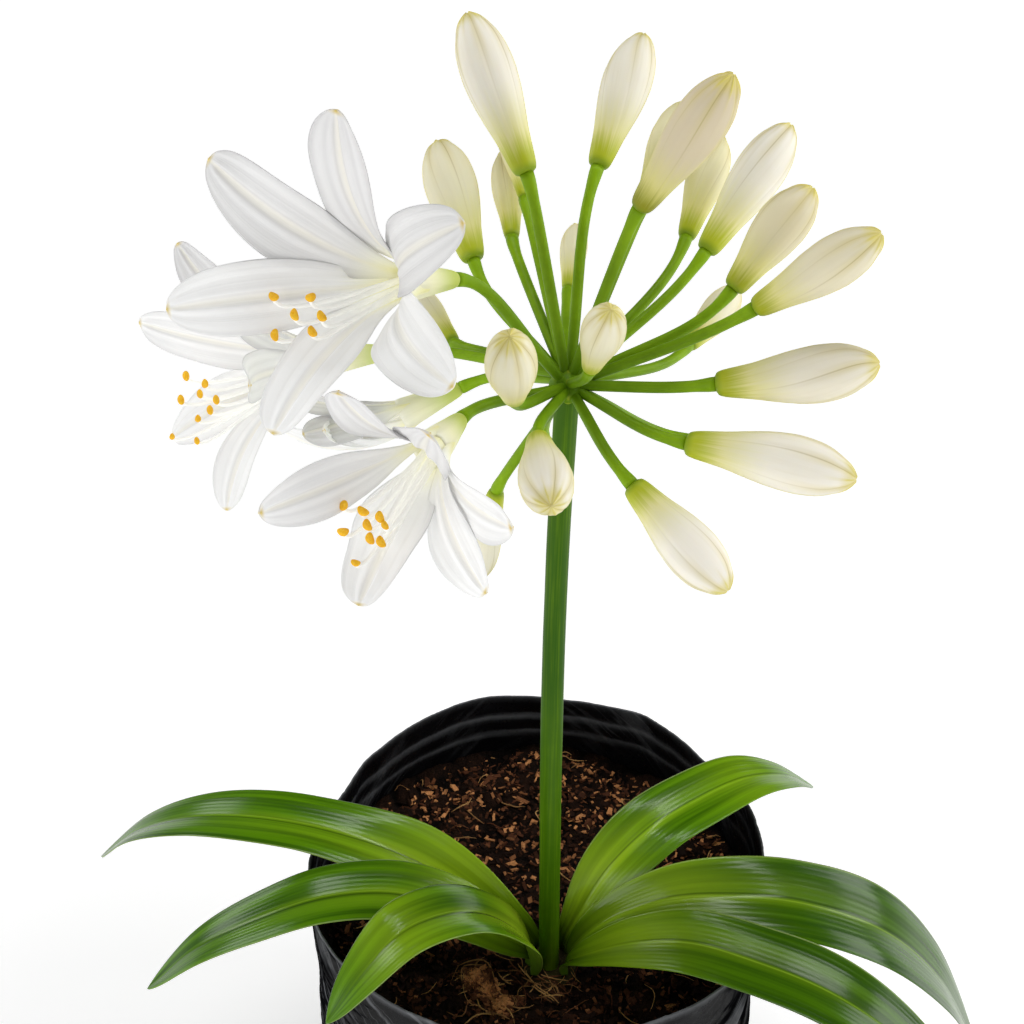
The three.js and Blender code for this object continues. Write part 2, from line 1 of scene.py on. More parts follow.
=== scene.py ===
"""White agapanthus in a black grow bag.

Run as a script inside Blender. The packed model is loaded as a fixed frame, each operator
builds one piece or one group of like pieces in that frame, and the last one adds the floor,
the lights and the camera. Shapes are worked out in millimetres and put into meshes in metres.
"""

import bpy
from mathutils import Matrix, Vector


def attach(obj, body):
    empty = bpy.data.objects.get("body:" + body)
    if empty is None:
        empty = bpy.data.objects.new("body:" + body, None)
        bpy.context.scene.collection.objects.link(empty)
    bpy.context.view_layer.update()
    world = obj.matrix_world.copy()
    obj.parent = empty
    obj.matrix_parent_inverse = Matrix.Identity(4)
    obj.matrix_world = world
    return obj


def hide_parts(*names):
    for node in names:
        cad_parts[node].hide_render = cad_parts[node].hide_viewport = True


bl_info = {
    "name": "Potted Agapanthus",
    "version": (1, 0, 0),
    "blender": (4, 5, 0),
    "location": "3D View > Sidebar > Agapanthus",
    "description": "Builds a white agapanthus with its leaves, umbel, soil and grow bag",
    "category": "Add Mesh",
}

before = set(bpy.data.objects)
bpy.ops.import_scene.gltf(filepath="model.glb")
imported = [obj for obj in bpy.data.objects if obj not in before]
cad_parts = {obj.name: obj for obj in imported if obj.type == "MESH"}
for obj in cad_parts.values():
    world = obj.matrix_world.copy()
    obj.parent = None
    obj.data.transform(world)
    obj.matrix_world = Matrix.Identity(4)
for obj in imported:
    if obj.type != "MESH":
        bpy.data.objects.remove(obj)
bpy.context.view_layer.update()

import bpy
import numpy as np

BODY = "root"
MM = 0.001
TAU = 2 * np.pi

# ------------------------------------------------------------------ sizes, in millimetres

BAG_HEIGHT = 150.0
BAG_RADIUS = 80.0
BAG_FILM = 0.8
BAG_FOOT_RADIUS = 73.0
BAG_FOOT_ROUNDING = 9.0
# Folds round the mouth: bearing in degrees, radius, height above the bag's own.
MOUTH_FOLDS = np.array([
    (-174, 80.5, 0.5), (-156, 82.5, -1.0), (-132, 81.5, 0.5), (-113, 79.5, -0.5),
    (-88, 81.0, 0.5), (-64, 80.0, -0.5), (-40, 85.0, 0.5), (-14, 81.0, -1.0),
    (13, 81.5, 0.5), (35, 78.5, -0.5), (57, 81.0, 1.0), (80, 79.5, -0.5),
    (103, 81.5, 1.0), (136, 78.5, 0.0), (161, 76.5, -0.5),
])

SOIL_LEVEL = 121.0
SOIL_LUMP = 1.6
SOIL_INSET = 0.3
# Heights at which the rings of the bag's foot stand, and rings up its wall and round it.
FOOT_RINGS = [0, 0.4, 1.2, 2.4, 4, 6, 8, 10.5]
BAG_RINGS = 92
BAG_SIDES = 488
# Level folds inside the mouth: height, how far that waves, where the wave starts, and width
# and depth as shares of the upper fold's.
LEVEL_FOLDS = ((139.5, 1.2, 0.0, 1.0, 1.0), (131.5, 1.5, 0.2, 0.85, 0.8))
# Slant of the pulled film, in radians for each millimetre of height.
FILM_LEAN = -0.016
# Rings of the mix over its surface and round it, and widths of its crumbs, each 0.62 as tall
# as the one before.
SOIL_RINGS = 180
SOIL_SIDES = 480
CRUMB_WIDTHS = (8.5, 4.3, 2.3, 1.3)
CRUMB_FALL = 0.62
# How far loose coir stays inside the outside of the film.
CHIP_ROOM = 1.6
FIBRE_ROOM = 2.4

PLANT = np.array([4.4, -28.0, SOIL_LEVEL])
CROWN_RADIUS = 9.8
CROWN_RISE = 1.4
ROOT_RING = 6.9

SCAPE_PATH = np.array([
    (4.4, -28, SOIL_LEVEL - 8), (3.6, -28, 243), (4.2, -27.4, 296), (5.5, -26.4, 340),
    (6, -26, 350),
])
SCAPE_FOOT_RADIUS = 3.5
SCAPE_TOP_RADIUS = 3.2
HUB = np.array([6.0, -26.0, 350.0])
HUB_RADIUS = 5.2
STALK_FOOT_RADIUS = 1.3
STALK_RADIUS = 1.45
STALK_HEAD_RADIUS = 1.85
STALK_GAP = 0.1

LEAF_FOOT = 3.7
# Leaves: bearing of the root on the crown, bearing of the blade, greatest width, share of the
# length by which the blade has opened, lean near the root and along the blade, and the
# midrib's arch as reach from the crown and height above the soil.
LEAVES = {
    "leaf_left_back": (142, 162, 25, 0.32, (-42, -2),
        [(21, 23), (47, 37), (76, 41), (105, 38.6), (133, 30.6), (158, 16), (179, -6)]),
    "leaf_left": (181, 189, 24.5, 0.42, (-32, 0),
        [(16, 19), (32, 35), (52, 47), (74, 49), (96, 42.5), (116, 32.5), (135, 15)]),
    "leaf_left_front": (220, 216, 25, 0.44, (-14, 0),
        [(9, 18), (16, 32), (27, 46), (41, 56), (58, 59), (73, 50), (86, 37)]),
    "leaf_right_back": (43, 32, 25, 0.5, (48, 3),
        [(11, 18), (23, 34), (41, 45), (62, 48), (83, 47), (102, 38), (118, 24)]),
    "leaf_right": (2, -1, 38, 0.78, (44, 5),
        [(19, 24), (39, 35), (62, 37), (85, 33.8), (112, 21.8), (135.5, -3), (157.5, -46)]),
    "leaf_right_front": (-40, -27, 28, 0.64, (38, 3),
        [(17, 17), (32, 30), (50, 40), (71, 43), (92, 43), (111, 37.3), (131, 23), (147, 0)]),
}

# Leaves painted a deeper green than the rest, as painted shade on the right of the plant, from
# 0 to 1.
SHADED_LEAVES = {"leaf_right": 0.45, "leaf_right_front": 0.45}
# Leaves that are yellower again further out, from 0 to 1.
PALE_TIPS = {"leaf_left_front": 0.45, "leaf_right_back": 0.3}

# Closed buds: joint with the stalk and tip, both from the hub, greatest thickness, and how
# green the bud still is, from 0 to 1.
BUDS = [
    ((-10.9, 15.4, 51.4), (-25.5, 37.7, 84.1), 14, 0.15),
    ((7.9, 34.5, 46), (20.6, 62.1, 72.1), 13.3, 0.2),
    ((16.2, 0.1, 48.7), (34.1, -10.4, 83.7), 13, 0.15),
    ((21.3, 40.7, 33.8), (35, 72.5, 50), 12.3, 0.75),
    ((33.1, 40.6, 23.6), (44.5, 70.1, 41.2), 11.5, 0.8),
    ((36.9, 28, 25.1), (60.3, 51.6, 51.1), 13.8, 0.1),
    ((41.1, 5, 25), (60.2, 14.9, 47.8), 13.1, 0.55),
    ((44.5, -10.4, 27.3), (69.5, -19.5, 50.3), 12.6, 0.45),
    ((36.1, 41.2, -9.7), (53.2, 70.7, -6), 10.5, 0.5),
    ((35, -19.9, 11.6), (72, -26, 20.4), 14.1, 0.2),
    ((27.8, -27.4, -0.6), (66.8, -40.4, -2.6), 14.2, 0.1),
    ((14.6, -33.9, -8.4), (37.1, -51.4, -27.4), 13.7, 0.05),
    ((-8.3, -33.3, 4.3), (-6.1, -68.5, 8.7), 12.7, 0.1),
    ((-14, -30.8, 13.8), (-15, -53.5, 41.5), 11.9, 0.45),
    ((4.5, -20, 16), (7.5, -36, 39.3), 10.5, 0.4),
    ((1.5, 48, 4.5), (5, 79, 11), 8.2, 0.5),
    ((-14.5, 46.5, 21), (-16.5, 80.5, 33), 9.6, 0.8),
    ((-25, 36.4, 18.9), (-35.2, 65.3, 41.7), 15, 0.55),
    ((-31, 35.3, -5.8), (-45.7, 68.1, -5.3), 10, 0.5),
    ((-18.8, 10, -39), (-25.8, 16.5, -75.3), 10.5, 0.3),
    ((-11, 50, 31), (-17.1, 80.5, 45.5), 7.5, 0.7),
    ((44, 21, -11), (75, 16, -3), 12, 0.3),
    ((36.8, 21.5, -29.7), (74.8, 9.5, -31.7), 12, 0.3),
    ((-5, 34, -37), (-3, 50, -66), 11, 0.4),
]

# Buds with a touch of beige, from 0 to 1.
WARM_BUDS = {"bud_03": 0.8, "bud_07": 0.4, "bud_08": 0.3, "bud_10": 0.15}

# Stalks that run straighter, or leave the hub higher, than the rest: how far the bloom's own
# direction is felt, as a share of the stalk's reach, and the lift at the hub.
STALK_REACH = 0.33
STALK_BENDS = {
    "bud_01": (0.12, 0), "bud_03": (0.1, 0), "bud_17": (0.12, 0), "bud_19": (0.08, 3),
    "bud_20": (0.1, 0), "flower_left": (0.33, 3), "flower_inner": (0.33, 2),
}

# Open flowers: joint from the hub, direction that the bell faces, tepals as turn round the
# bell, curl at the tip in degrees, length, width and, where it has one, twist in degrees, and
# anthers as rise, aside and ahead of the joint with the share of full size.
TUBE_LENGTH = 16.0
THROAT_RADIUS = 4.6
TEPAL_THICKNESS = 0.6
FLOWERS = {
    "flower_upper": (
        (-28, -13, 36), (-0.61, -0.73, 0.31),
        [(60, 79, 52.5, 18), (357, 76, 50, 18.4), (303, 96, 51, 15.8),
         (257, 92.5, 52, 15.6, 24), (187, 59, 50.5, 19), (114, 59, 54, 16.4)],
        [(-6, 12, 46, 1), (-3, 1, 46, 1), (-8, 5, 46, 1), (-6, -3, 46, 1), (-14, 10, 46, 1),
         (-10, -1, 46, 1)],
    ),
    "flower_left": (
        (-49, 28, -5), (-0.92, -0.39, 0.09),
        [(85, 46, 54, 14.5), (37, 69, 50, 14, -38), (336, 80, 51, 14), (291, 83, 50.5, 12.8),
         (215, 77, 51.5, 15, 34), (150, 56, 51, 16)],
        [(-2.1, 3, 55.2, 1), (-2.5, -2, 51.3, 1), (-8.5, 4, 51.5, 0.8), (-8, 1, 57.2, 1),
         (-6.5, -4, 48.9, 0.9), (-11, -1, 50, 0.9), (-14.9, 2, 52.7, 0.8),
         (-18.3, 0, 60.2, 0.6), (-18.8, -3, 54.2, 0.6)],
    ),
    "flower_front": (
        (-26.7, -33.9, 9.8), (-0.329, -0.937, 0.115),
        [(77.5, 20.7, 52.3, 12.5, -27), (6, 49.7, 51, 14.9, 7), (327, 50, 49, 15),
         (279, 60.5, 49, 14.4, -5), (242, 61.8, 44.5, 14.6, -5), (172, 46.5, 40.5, 19.5, -29)],
        [(-2.5, 8.6, 46, 1), (-2.9, 4.1, 46, 1), (-3.4, 0.3, 46, 1), (-8.8, 8.7, 46, 1),
         (-5.9, 3.2, 46, 1), (-9.3, 0.1, 46, 1), (-4.8, -1.1, 46.5, 0.55),
         (-14.5, 5, 48, 0.6), (-9, 2.6, 46, 1)],
    ),
    "flower_inner": (
        (-29, 29, -16.8), (-0.908, -0.15, -0.391),
        [(12, 45, 34, 11), (65, 50, 33, 11), (140, -90, 32, 9), (207, -58, 40.5, 19, -25),
         (255, -70, 33, 11), (328, 25, 30, 11)],
        [(6, 2, 36, 1), (4, -3, 35, 1), (2, 3, 37, 1), (1, -2, 35, 1), (5, 4, 35, 1),
         (3, 0, 38, 1)],
    ),
}


def tone(red, green, blue):
    """Scene colour of a screen colour from 0 to 255: the usual screen curve undone."""
    share = np.array([red, green, blue]) / 255
    low = share / 12.92
    high = ((share + 0.055) / 1.055) ** 2.4
    return tuple(float(value) for value in np.where(share <= 0.04045, low, high))


# ------------------------------------------------------------------ settings


def length(name, description, default, low=0.0, high=1.0):
    """A size in metres, its default given in millimetres."""
    return bpy.props.FloatProperty(
        name=name, description=description, default=default * MM, min=low, max=high,
        precision=4, subtype="DISTANCE", unit="LENGTH")


def share(name, description, default, high=1.0):
    """A plain factor from 0 up."""
    return bpy.props.FloatProperty(
        name=name, description=description, default=default, min=0.0, max=high,
        subtype="FACTOR")


def count(name, description, default, high):
    """A whole number of like things."""
    return bpy.props.IntProperty(
        name=name, description=description, default=default, min=1, max=high)


def colour(name, description, default):
    """A colour, its default given as a screen colour."""
    return bpy.props.FloatVectorProperty(
        name=name, description=description, default=tone(*default), size=3, min=0.0, max=1.0,
        subtype="COLOR")


class AgapanthusBag(bpy.types.PropertyGroup):
    """Grow bag."""

    height: length("Height", "Height of the bag's mouth", BAG_HEIGHT)
    radius: length("Radius", "Radius where the soil presses the film out", BAG_RADIUS)
    film: length("Film", "Thickness of the film", BAG_FILM)
    crease: length("Creases", "Depth of the deepest creases", 1.5)
    black: colour("Black", "Colour of the polythene", (6, 6, 7))
    # Grey of the painted highlights on the film, standing in for light caught by its creases
    # and rim.
    highlight_grey: colour("Silver", "Colour of the scuffed creases", (158, 160, 165))
    gloss: share("Gloss", "Roughness of the smooth film", 0.26)


class AgapanthusSoil(bpy.types.PropertyGroup):
    """Potting mix."""

    chips: count("Chips", "Coir chips on the surface", 5600, 12000)
    fibres: count("Fibres", "Loose coir fibres", 200, 2000)
    crumb: length("Crumbs", "Height of the crumbs", 1.7)
    dark: colour("Dark", "Colour of the moist mix", (26, 15, 10))
    chip: colour("Chip", "Colour of the brightest chips", (226, 156, 100))
    fibre: colour("Fibre", "Colour of the fibres", (222, 172, 110))


class AgapanthusScape(bpy.types.PropertyGroup):
    """Stem, hub and stalks."""

    foot: length("Foot", "Radius of the stem at the soil", SCAPE_FOOT_RADIUS)
    top: length("Top", "Radius of the stem under the hub", SCAPE_TOP_RADIUS)
    deep: colour("Deep", "Darker green of the stem", (42, 84, 0))
    fresh: colour("Fresh", "Lighter green of the stalks", (138, 176, 22))


class AgapanthusLeaf(bpy.types.PropertyGroup):
    """Strap leaves."""

    veins: count("Veins", "Raised veins across a blade", 15, 60)
    relief: length("Relief", "Height of the veins", 0.045)
    deep: colour("Deep", "Darker streaks", (52, 94, 0))
    middle: colour("Middle", "Main green", (92, 142, 4))
    pale: colour("Pale", "Yellow-green by the midrib", (166, 202, 36))
    gloss: share("Gloss", "Roughness of the upper face", 0.2)


class AgapanthusBud(bpy.types.PropertyGroup):
    """Closed buds."""

    rib: share("Ribs", "Depth of the ribs as a share of the radius", 0.09)
    cream: colour("Cream", "Colour of a bud about to open", (246, 241, 230))
    young: colour("Young", "Colour of a younger bud", (228, 222, 170))
    base: colour("Base", "Yellow-green at the foot", (178, 188, 34))
    tip: colour("Tip", "Yellow of the tip", (216, 202, 84))


class AgapanthusFlower(bpy.types.PropertyGroup):
    """Open flowers."""

    ruffle: length("Ruffle", "Waviness of the tepals' edges", 0.6)
    white: colour("White", "Colour of the tepals", (250, 250, 249))
    throat: colour("Throat", "Colour inside the throat", (226, 222, 160))
    green: colour("Green", "Colour of the tube's foot", (178, 194, 66))
    pollen: colour("Pollen", "Colour of the anthers", (255, 196, 24))


class AgapanthusStage(bpy.types.PropertyGroup):
    """Floor, lights and camera."""

    floor: colour("Floor", "Colour of the floor", (250, 250, 250))
    dome: share("Dome", "Strength of the light from all round", 0.4, 5.0)
    zenith: share("Zenith", "Share of that light that comes from overhead", 0.3)
    key: share("Key", "Power of the main soft light, in watts", 7.0, 100.0)
    lens: bpy.props.FloatProperty(
        name="Lens", description="Focal length of the camera", default=50.0, min=10.0,
        max=200.0, subtype="DISTANCE_CAMERA")


# ------------------------------------------------------------------ numbers and curves


def unit(vectors):
    """Each vector over its own length."""
    return vectors / np.linalg.norm(vectors, axis=-1, keepdims=True)


def smoothstep(value, low, high):
    """3t^2 - 2t^3 with t running from 0 at low to 1 at high."""
    t = np.clip((value - low) / (high - low), 0, 1)
    return t * t * (3 - 2 * t)


def mixed(a, b, t):
    """a at t = 0, b at t = 1, straight in between."""
    return a + (b - a) * t


def bell(value, width):
    """exp(-(value / width)^2)."""
    return np.exp(-((value / width) ** 2))


def corner_value(x, y, z, seed):
    """A repeatable value from -1 to 1 for each whole-number place, from mixed bits."""
    bits = (x * 374761393 + y * 668265263 + z * 1442695041 + seed * 97531) & 0xFFFFFFFF
    bits = ((bits ^ (bits >> 13)) * 1274126177) & 0xFFFFFFFF
    bits = ((bits ^ (bits >> 15)) * 2246822519) & 0xFFFFFFFF
    return ((bits ^ (bits >> 16)) & 0xFFFF) / 32767.5 - 1


def noise(x, y, z=0.0, seed=0):
    """Smooth value noise: the eight corner values round a place, blended by 3t^2 - 2t^3."""
    place = np.stack(np.broadcast_arrays(x, y, z)).astype(float)
    cell = np.floor(place)
    part = place - cell
    part = part * part * (3 - 2 * part)
    cell = cell.astype(np.int64)
    total = 0.0
    for corner in range(8):
        step = [(corner >> axis) & 1 for axis in range(3)]
        weight = 1.0
        for axis in range(3):
            weight = weight * (part[axis] if step[axis] else 1 - part[axis])
        total = total + weight * corner_value(
            cell[0] + step[0], cell[1] + step[1], cell[2] + step[2], seed)
    return total


def path_through(points, samples):
    """Centripetal Catmull-Rom curve through the points, at even steps of its length.

    Between two points the curve is the cubic whose end slopes come from the neighbours, each
    weighed by the square root of its distance. Gives places and unit directions."""
    points = np.asarray(points, float)
    points = np.vstack([2 * points[0] - points[1], points, 2 * points[-1] - points[-2]])
    gap = np.linalg.norm(np.diff(points, axis=0), axis=1) ** 0.5
    t = np.linspace(0, 1, 60, endpoint=False)[:, None]
    pieces = []
    for i in range(1, len(points) - 2):
        a, b, c, d = points[i - 1:i + 3]
        before, here, after = gap[i - 1:i + 2]
        slope_in = ((b - a) / before - (c - a) / (before + here) + (c - b) / here) * here
        slope_out = ((c - b) / here - (d - b) / (here + after) + (d - c) / after) * here
        pieces.append(b + slope_in * t
                      + (3 * (c - b) - 2 * slope_in - slope_out) * t**2
                      + (2 * (b - c) + slope_in + slope_out) * t**3)
    curve = np.vstack([*pieces, points[-2:-1]])
    return even_steps(curve, samples)


def even_steps(curve, samples):
    """The same curve at even steps of its length, with its unit directions."""
    run = np.concatenate([[0], np.cumsum(np.linalg.norm(np.diff(curve, axis=0), axis=1))])
    at = np.asarray(samples) * run[-1]
    places = np.stack([np.interp(at, run, curve[:, k]) for k in range(3)], axis=-1)
    slopes = np.gradient(curve, run, axis=0)
    slopes = np.stack([np.interp(at, run, slopes[:, k]) for k in range(3)], axis=-1)
    return places, unit(slopes)


def bezier(start, first, second, end, samples):
    """Cubic curve (1-t)^3 P0 + 3(1-t)^2 t P1 + 3(1-t) t^2 P2 + t^3 P3, evenly stepped."""
    t = np.linspace(0, 1, 80)[:, None]
    curve = ((1 - t)**3 * start + 3 * (1 - t)**2 * t * first
             + 3 * (1 - t) * t**2 * second + t**3 * end)
    return even_steps(curve, samples)


def square_to(axis):
    """Two directions square to an axis: the first leans as near to +Z as it can."""
    up = unit(np.array([0, 0, 1.0]) - axis * axis[2])
    return up, np.cross(axis, up)


def turned(vectors, axes, degrees):
    """Vectors turned about unit axes: v cos a + (k x v) sin a + k (k . v)(1 - cos a)."""
    angle = np.radians(degrees)[..., None]
    dot = np.sum(vectors * axes, axis=-1, keepdims=True)
    return (vectors * np.cos(angle) + np.cross(axes, vectors) * np.sin(angle)
            + axes * dot * (1 - np.cos(angle)))


def circle(sides):
    """Even angles once round, without the closing one."""
    return np.arange(sides) * (TAU / sides)


def tube_rings(places, directions, radius, reference, sides):
    """Rings round a path: place + r cos(a) right + r sin(a) up, with right = t x reference."""
    right = unit(np.cross(directions, reference))
    up = np.cross(right, directions)
    angle = circle(sides)[None, :, None]
    radius = np.broadcast_to(radius, (len(places), sides))[..., None]
    return (places[:, None] + radius * np.cos(angle) * right[:, None]
            + radius * np.sin(angle) * up[:, None])


# ------------------------------------------------------------------ meshes


class Skin:
    """Collects closed shells made of rings, and turns them into one mesh."""

    def __init__(self, *channels):
        self.points, self.faces, self.values = [], [], {name: [] for name in channels}
        self.size = 0

    def shells(self, rings, uv=None, **values):
        """Adds shells from rings[shell, row, column, xyz] in millimetres.

        The quad at row r, column c joins it with row r + 1 and column c + 1, which wraps
        round. Both end rings close by a fan to their own middle. uv has one more column than
        the rings, for the wrap. A shell whose volume comes out negative is turned round."""
        rings = np.asarray(rings, float)
        rings = rings[None] if rings.ndim == 3 else rings
        shells, rows, columns = rings.shape[:3]
        if uv is None:
            u, v = np.meshgrid(np.arange(columns + 1) / columns, np.arange(rows) / (rows - 1))
            uv = np.stack([u, v], axis=-1)
        uv = np.broadcast_to(uv, (shells, rows, columns + 1, 2))
        r, c = np.meshgrid(np.arange(rows - 1), np.arange(columns), indexing="ij")
        r, c = r.ravel(), c.ravel()
        corner_r = np.stack([r, r, r + 1, r + 1], axis=-1)
        corner_c = np.stack([c, c + 1, c + 1, c], axis=-1)
        quads = corner_r * columns + corner_c % columns
        each = rows * columns + 2
        last = (rows - 1) * columns
        k = np.arange(columns)
        fans = np.concatenate([
            np.stack([(k + 1) % columns, k, np.full(columns, each - 2)], axis=-1),
            np.stack([last + k, last + (k + 1) % columns, np.full(columns, each - 1)], axis=-1),
        ])
        flat = rings.reshape(shells, rows * columns, 3)
        middles = np.stack([rings[:, 0].mean(1), rings[:, -1].mean(1)], axis=1)
        flat = np.concatenate([flat, middles], axis=1)
        quad_uv = uv[:, corner_r, corner_c]
        fan_uv = np.stack([
            np.concatenate([uv[:, 0, k + 1], uv[:, -1, k]], axis=1),
            np.concatenate([uv[:, 0, k], uv[:, -1, k + 1]], axis=1),
            np.concatenate([np.repeat(uv[:, 0].mean(1)[:, None], columns, 1),
                            np.repeat(uv[:, -1].mean(1)[:, None], columns, 1)], axis=1),
        ], axis=2)
        corners = flat[:, quads] - flat.mean(1)[:, None, None]
        volume = np.sum(
            np.cross(corners[..., 0, :], corners[..., 1, :]) * corners[..., 2, :]
            + np.cross(corners[..., 0, :], corners[..., 2, :]) * corners[..., 3, :],
            axis=(1, 2))
        for i in range(shells):
            shift = self.size + i * each
            for index, corner_uv in ((quads, quad_uv[i]), (fans, fan_uv[i])):
                way = slice(None, None, -1 if volume[i] < 0 else 1)
                self.faces.append((index[:, way] + shift, corner_uv[:, way]))
        self.points.append(flat.reshape(-1, 3))
        for name, store in self.values.items():
            value = np.broadcast_to(values.get(name, 0.0), (shells, rows, columns))
            ends = np.stack([value[:, 0].mean(1), value[:, -1].mean(1)], axis=1)
            store.append(np.concatenate([value.reshape(shells, -1), ends], axis=1).ravel())
        self.size += shells * each

    def plates(self, points, faces, **values):
        """Adds many copies of one small closed form: points[copy, corner, xyz]."""
        copies, corners = points.shape[:2]
        index = faces[None] + (np.arange(copies) * corners)[:, None, None] + self.size
        self.points.append(points.reshape(-1, 3))
        flat = index.reshape(-1, faces.shape[1])
        self.faces.append((flat, np.zeros((*flat.shape, 2))))
        for name, store in self.values.items():
            value = np.broadcast_to(values.get(name, 0.0), (copies, corners))
            store.append(value.ravel())
        self.size += copies * corners

    def piece(self, name, material):
        """The collected shells as one smooth object in the scene."""
        points = np.concatenate(self.points) * MM
        mesh = bpy.data.meshes.new(name)
        loops = np.concatenate([index.ravel() for index, _ in self.faces])
        sizes = np.concatenate([np.full(len(index), index.shape[1]) for index, _ in self.faces])
        corner_uv = np.concatenate([uv.reshape(-1, 2) for _, uv in self.faces])
        mesh.vertices.add(len(points))
        mesh.vertices.foreach_set("co", points.astype(np.float32).ravel())
        mesh.loops.add(len(loops))
        mesh.loops.foreach_set("vertex_index", loops.astype(np.int32))
        mesh.polygons.add(len(sizes))
        starts = np.concatenate([[0], np.cumsum(sizes)[:-1]])
        mesh.polygons.foreach_set("loop_start", starts.astype(np.int32))
        mesh.update(calc_edges=True)
        mesh.polygons.foreach_set("use_smooth", np.ones(len(sizes), bool))
        layer = mesh.uv_layers.new(name="Along")
        layer.data.foreach_set("uv", corner_uv.astype(np.float32).ravel())
        for channel, store in self.values.items():
            attribute = mesh.attributes.new(channel, "FLOAT", "POINT")
            attribute.data.foreach_set("value", np.concatenate(store).astype(np.float32))
        mesh.materials.append(material)
        old = bpy.data.objects.get(name)
        if old is not None:
            bpy.data.objects.remove(old)
        piece = bpy.data.objects.new(name, mesh)
        bpy.context.scene.collection.objects.link(piece)
        return piece


def placed(piece, slot, *nodes):
    """Sets a piece on the plant's body, in place of CAD nodes. The slot is not used."""
    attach(piece, BODY)
    if nodes:
        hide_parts(*nodes)
    return piece


def round_axis(start, ahead, along, radius, angle, bow=0.0):
    """Rings round a straight axis: start + s axis + (r sin a + bow) up + r cos a side."""
    up, side = square_to(ahead)
    return (start + along[..., None] * ahead
            + (radius * np.sin(angle) + bow)[..., None] * up
            + (radius * np.cos(angle))[..., None] * side)


def blade_rings(face, normal, thickness, spread):
    """Closed rings round a thin blade, from its middle surface[row, column].

    The upper face is middle + n h, the under face middle - n h, with h the half thickness
    times (1 - |u|^6)^(1/2), so the edges are round. The ring runs over the upper face from
    edge to edge and back under it."""
    half = thickness / 2 * np.sqrt(np.clip(1 - np.abs(spread) ** 6, 0, 1))
    upper = face + normal * half[..., None]
    under = face - normal * half[..., None]
    return np.concatenate([upper, under[:, -2:0:-1]], axis=1)


def blade_around(grid):
    """A value on the blade's columns, carried round the ring of blade_rings."""
    return np.concatenate([grid, grid[:, -2:0:-1]], axis=1)


def blade_uv(spread, along):
    """UV for blade_rings: u across from 0 to 1, the same on both faces, and v along."""
    u = blade_around(np.broadcast_to((spread + 1) / 2, (len(along), spread.shape[-1])))
    u = np.concatenate([u, u[:, :1]], axis=1)
    v = np.broadcast_to(np.asarray(along)[:, None], u.shape)
    return np.stack([u, v], axis=-1)


# ------------------------------------------------------------------ materials


class Paint:
    """The nodes of one material, group or world, and the steps that a finish is made with.

    Each value or colour may be given as it is or as a socket."""

    def __init__(self, tree):
        self.tree = tree

    def add(self, kind, inputs=None, **settings):
        """A shader node with its settings and inputs."""
        node = self.tree.nodes.new("ShaderNode" + kind)
        for name, value in settings.items():
            setattr(node, name, value)
        for name, value in (inputs or {}).items():
            if isinstance(value, bpy.types.NodeSocket):
                self.tree.links.new(value, node.inputs[name])
            else:
                node.inputs[name].default_value = value
        return node

    def mix(self, factor, a, b):
        """Colour a at factor 0, b at factor 1."""
        a, b = (value if isinstance(value, bpy.types.NodeSocket) else (*tuple(value)[:3], 1.0)
                for value in (a, b))
        return self.add("Mix", {0: factor, 6: a, 7: b}, data_type="RGBA").outputs[2]

    def coats(self, base, *coats):
        """A base colour with coats of (mask, colour) over it, the last one on top."""
        for mask, coat in coats:
            base = self.mix(mask, base, coat)
        return base

    def maths(self, operation, a, b=0.0, clamp=False):
        return self.add("Math", {0: a, 1: b}, operation=operation, use_clamp=clamp).outputs[0]

    def times(self, a, b):
        return self.maths("MULTIPLY", a, b)

    def plus(self, a, b, clamp=False):
        return self.maths("ADD", a, b, clamp)

    def off(self, a, b):
        """How far a is from b."""
        return self.maths("ABSOLUTE", self.maths("SUBTRACT", a, b))

    def ranged(self, value, low, high, to_low=0.0, to_high=1.0):
        """A value taken from one range to another, smooth at both ends."""
        return self.add("MapRange", {"Value": value, "From Min": low, "From Max": high,
                                     "To Min": to_low, "To Max": to_high},
                        interpolation_type="SMOOTHSTEP").outputs["Result"]

    def noise(self, vector, **inputs):
        inputs = {name.capitalize(): value for name, value in inputs.items()}
        return self.add("TexNoise", {"Vector": vector, **inputs}).outputs["Fac"]

    def channel(self, name):
        """A value that the mesh carries at each point."""
        return self.add("Attribute", attribute_name=name).outputs["Fac"]

    def along(self):
        return self.add("UVMap", uv_map="Along").outputs["UV"]

    def place(self):
        return self.add("TexCoord").outputs["Object"]

    def parts(self, vector):
        return self.add("SeparateXYZ", {0: vector}).outputs

    def streaks(self, lines, run, seed=0.0):
        """The shared streaks on the piece's own UV map."""
        return self.add("Group", {"Vector": self.along(), "Lines": lines, "Run": run,
                                  "Seed": seed}, node_tree=streaks()).outputs[0]

    def mottle(self, scale):
        """The shared blotches, about this many to a metre."""
        return self.add("Group", {"Vector": self.place(), "Scale": scale},
                        node_tree=mottle()).outputs[0]

    def bumped(self, height, distance, strength, normal=None):
        """A normal from a height, with the distance in millimetres."""
        inputs = {"Height": height, "Distance": distance * MM, "Strength": strength}
        if normal is not None:
            inputs["Normal"] = normal
        return self.add("Bump", inputs).outputs["Normal"]


def effect(name, inputs, fill):
    """A shared effect as a node group: a vector and named numbers in, one value out."""
    tree = bpy.data.node_groups.get(name)
    if tree is None:
        tree = bpy.data.node_groups.new(name, "ShaderNodeTree")
        tree.interface.new_socket("Vector", in_out="INPUT", socket_type="NodeSocketVector")
        for label, default in inputs.items():
            tree.interface.new_socket(
                label, in_out="INPUT", socket_type="NodeSocketFloat").default_value = default
        tree.interface.new_socket("Value", in_out="OUTPUT", socket_type="NodeSocketFloat")
        inside = tree.nodes.new("NodeGroupInput")
        outside = tree.nodes.new("NodeGroupOutput")
        tree.links.new(fill(Paint(tree), inside.outputs), outside.inputs["Value"])
    return tree


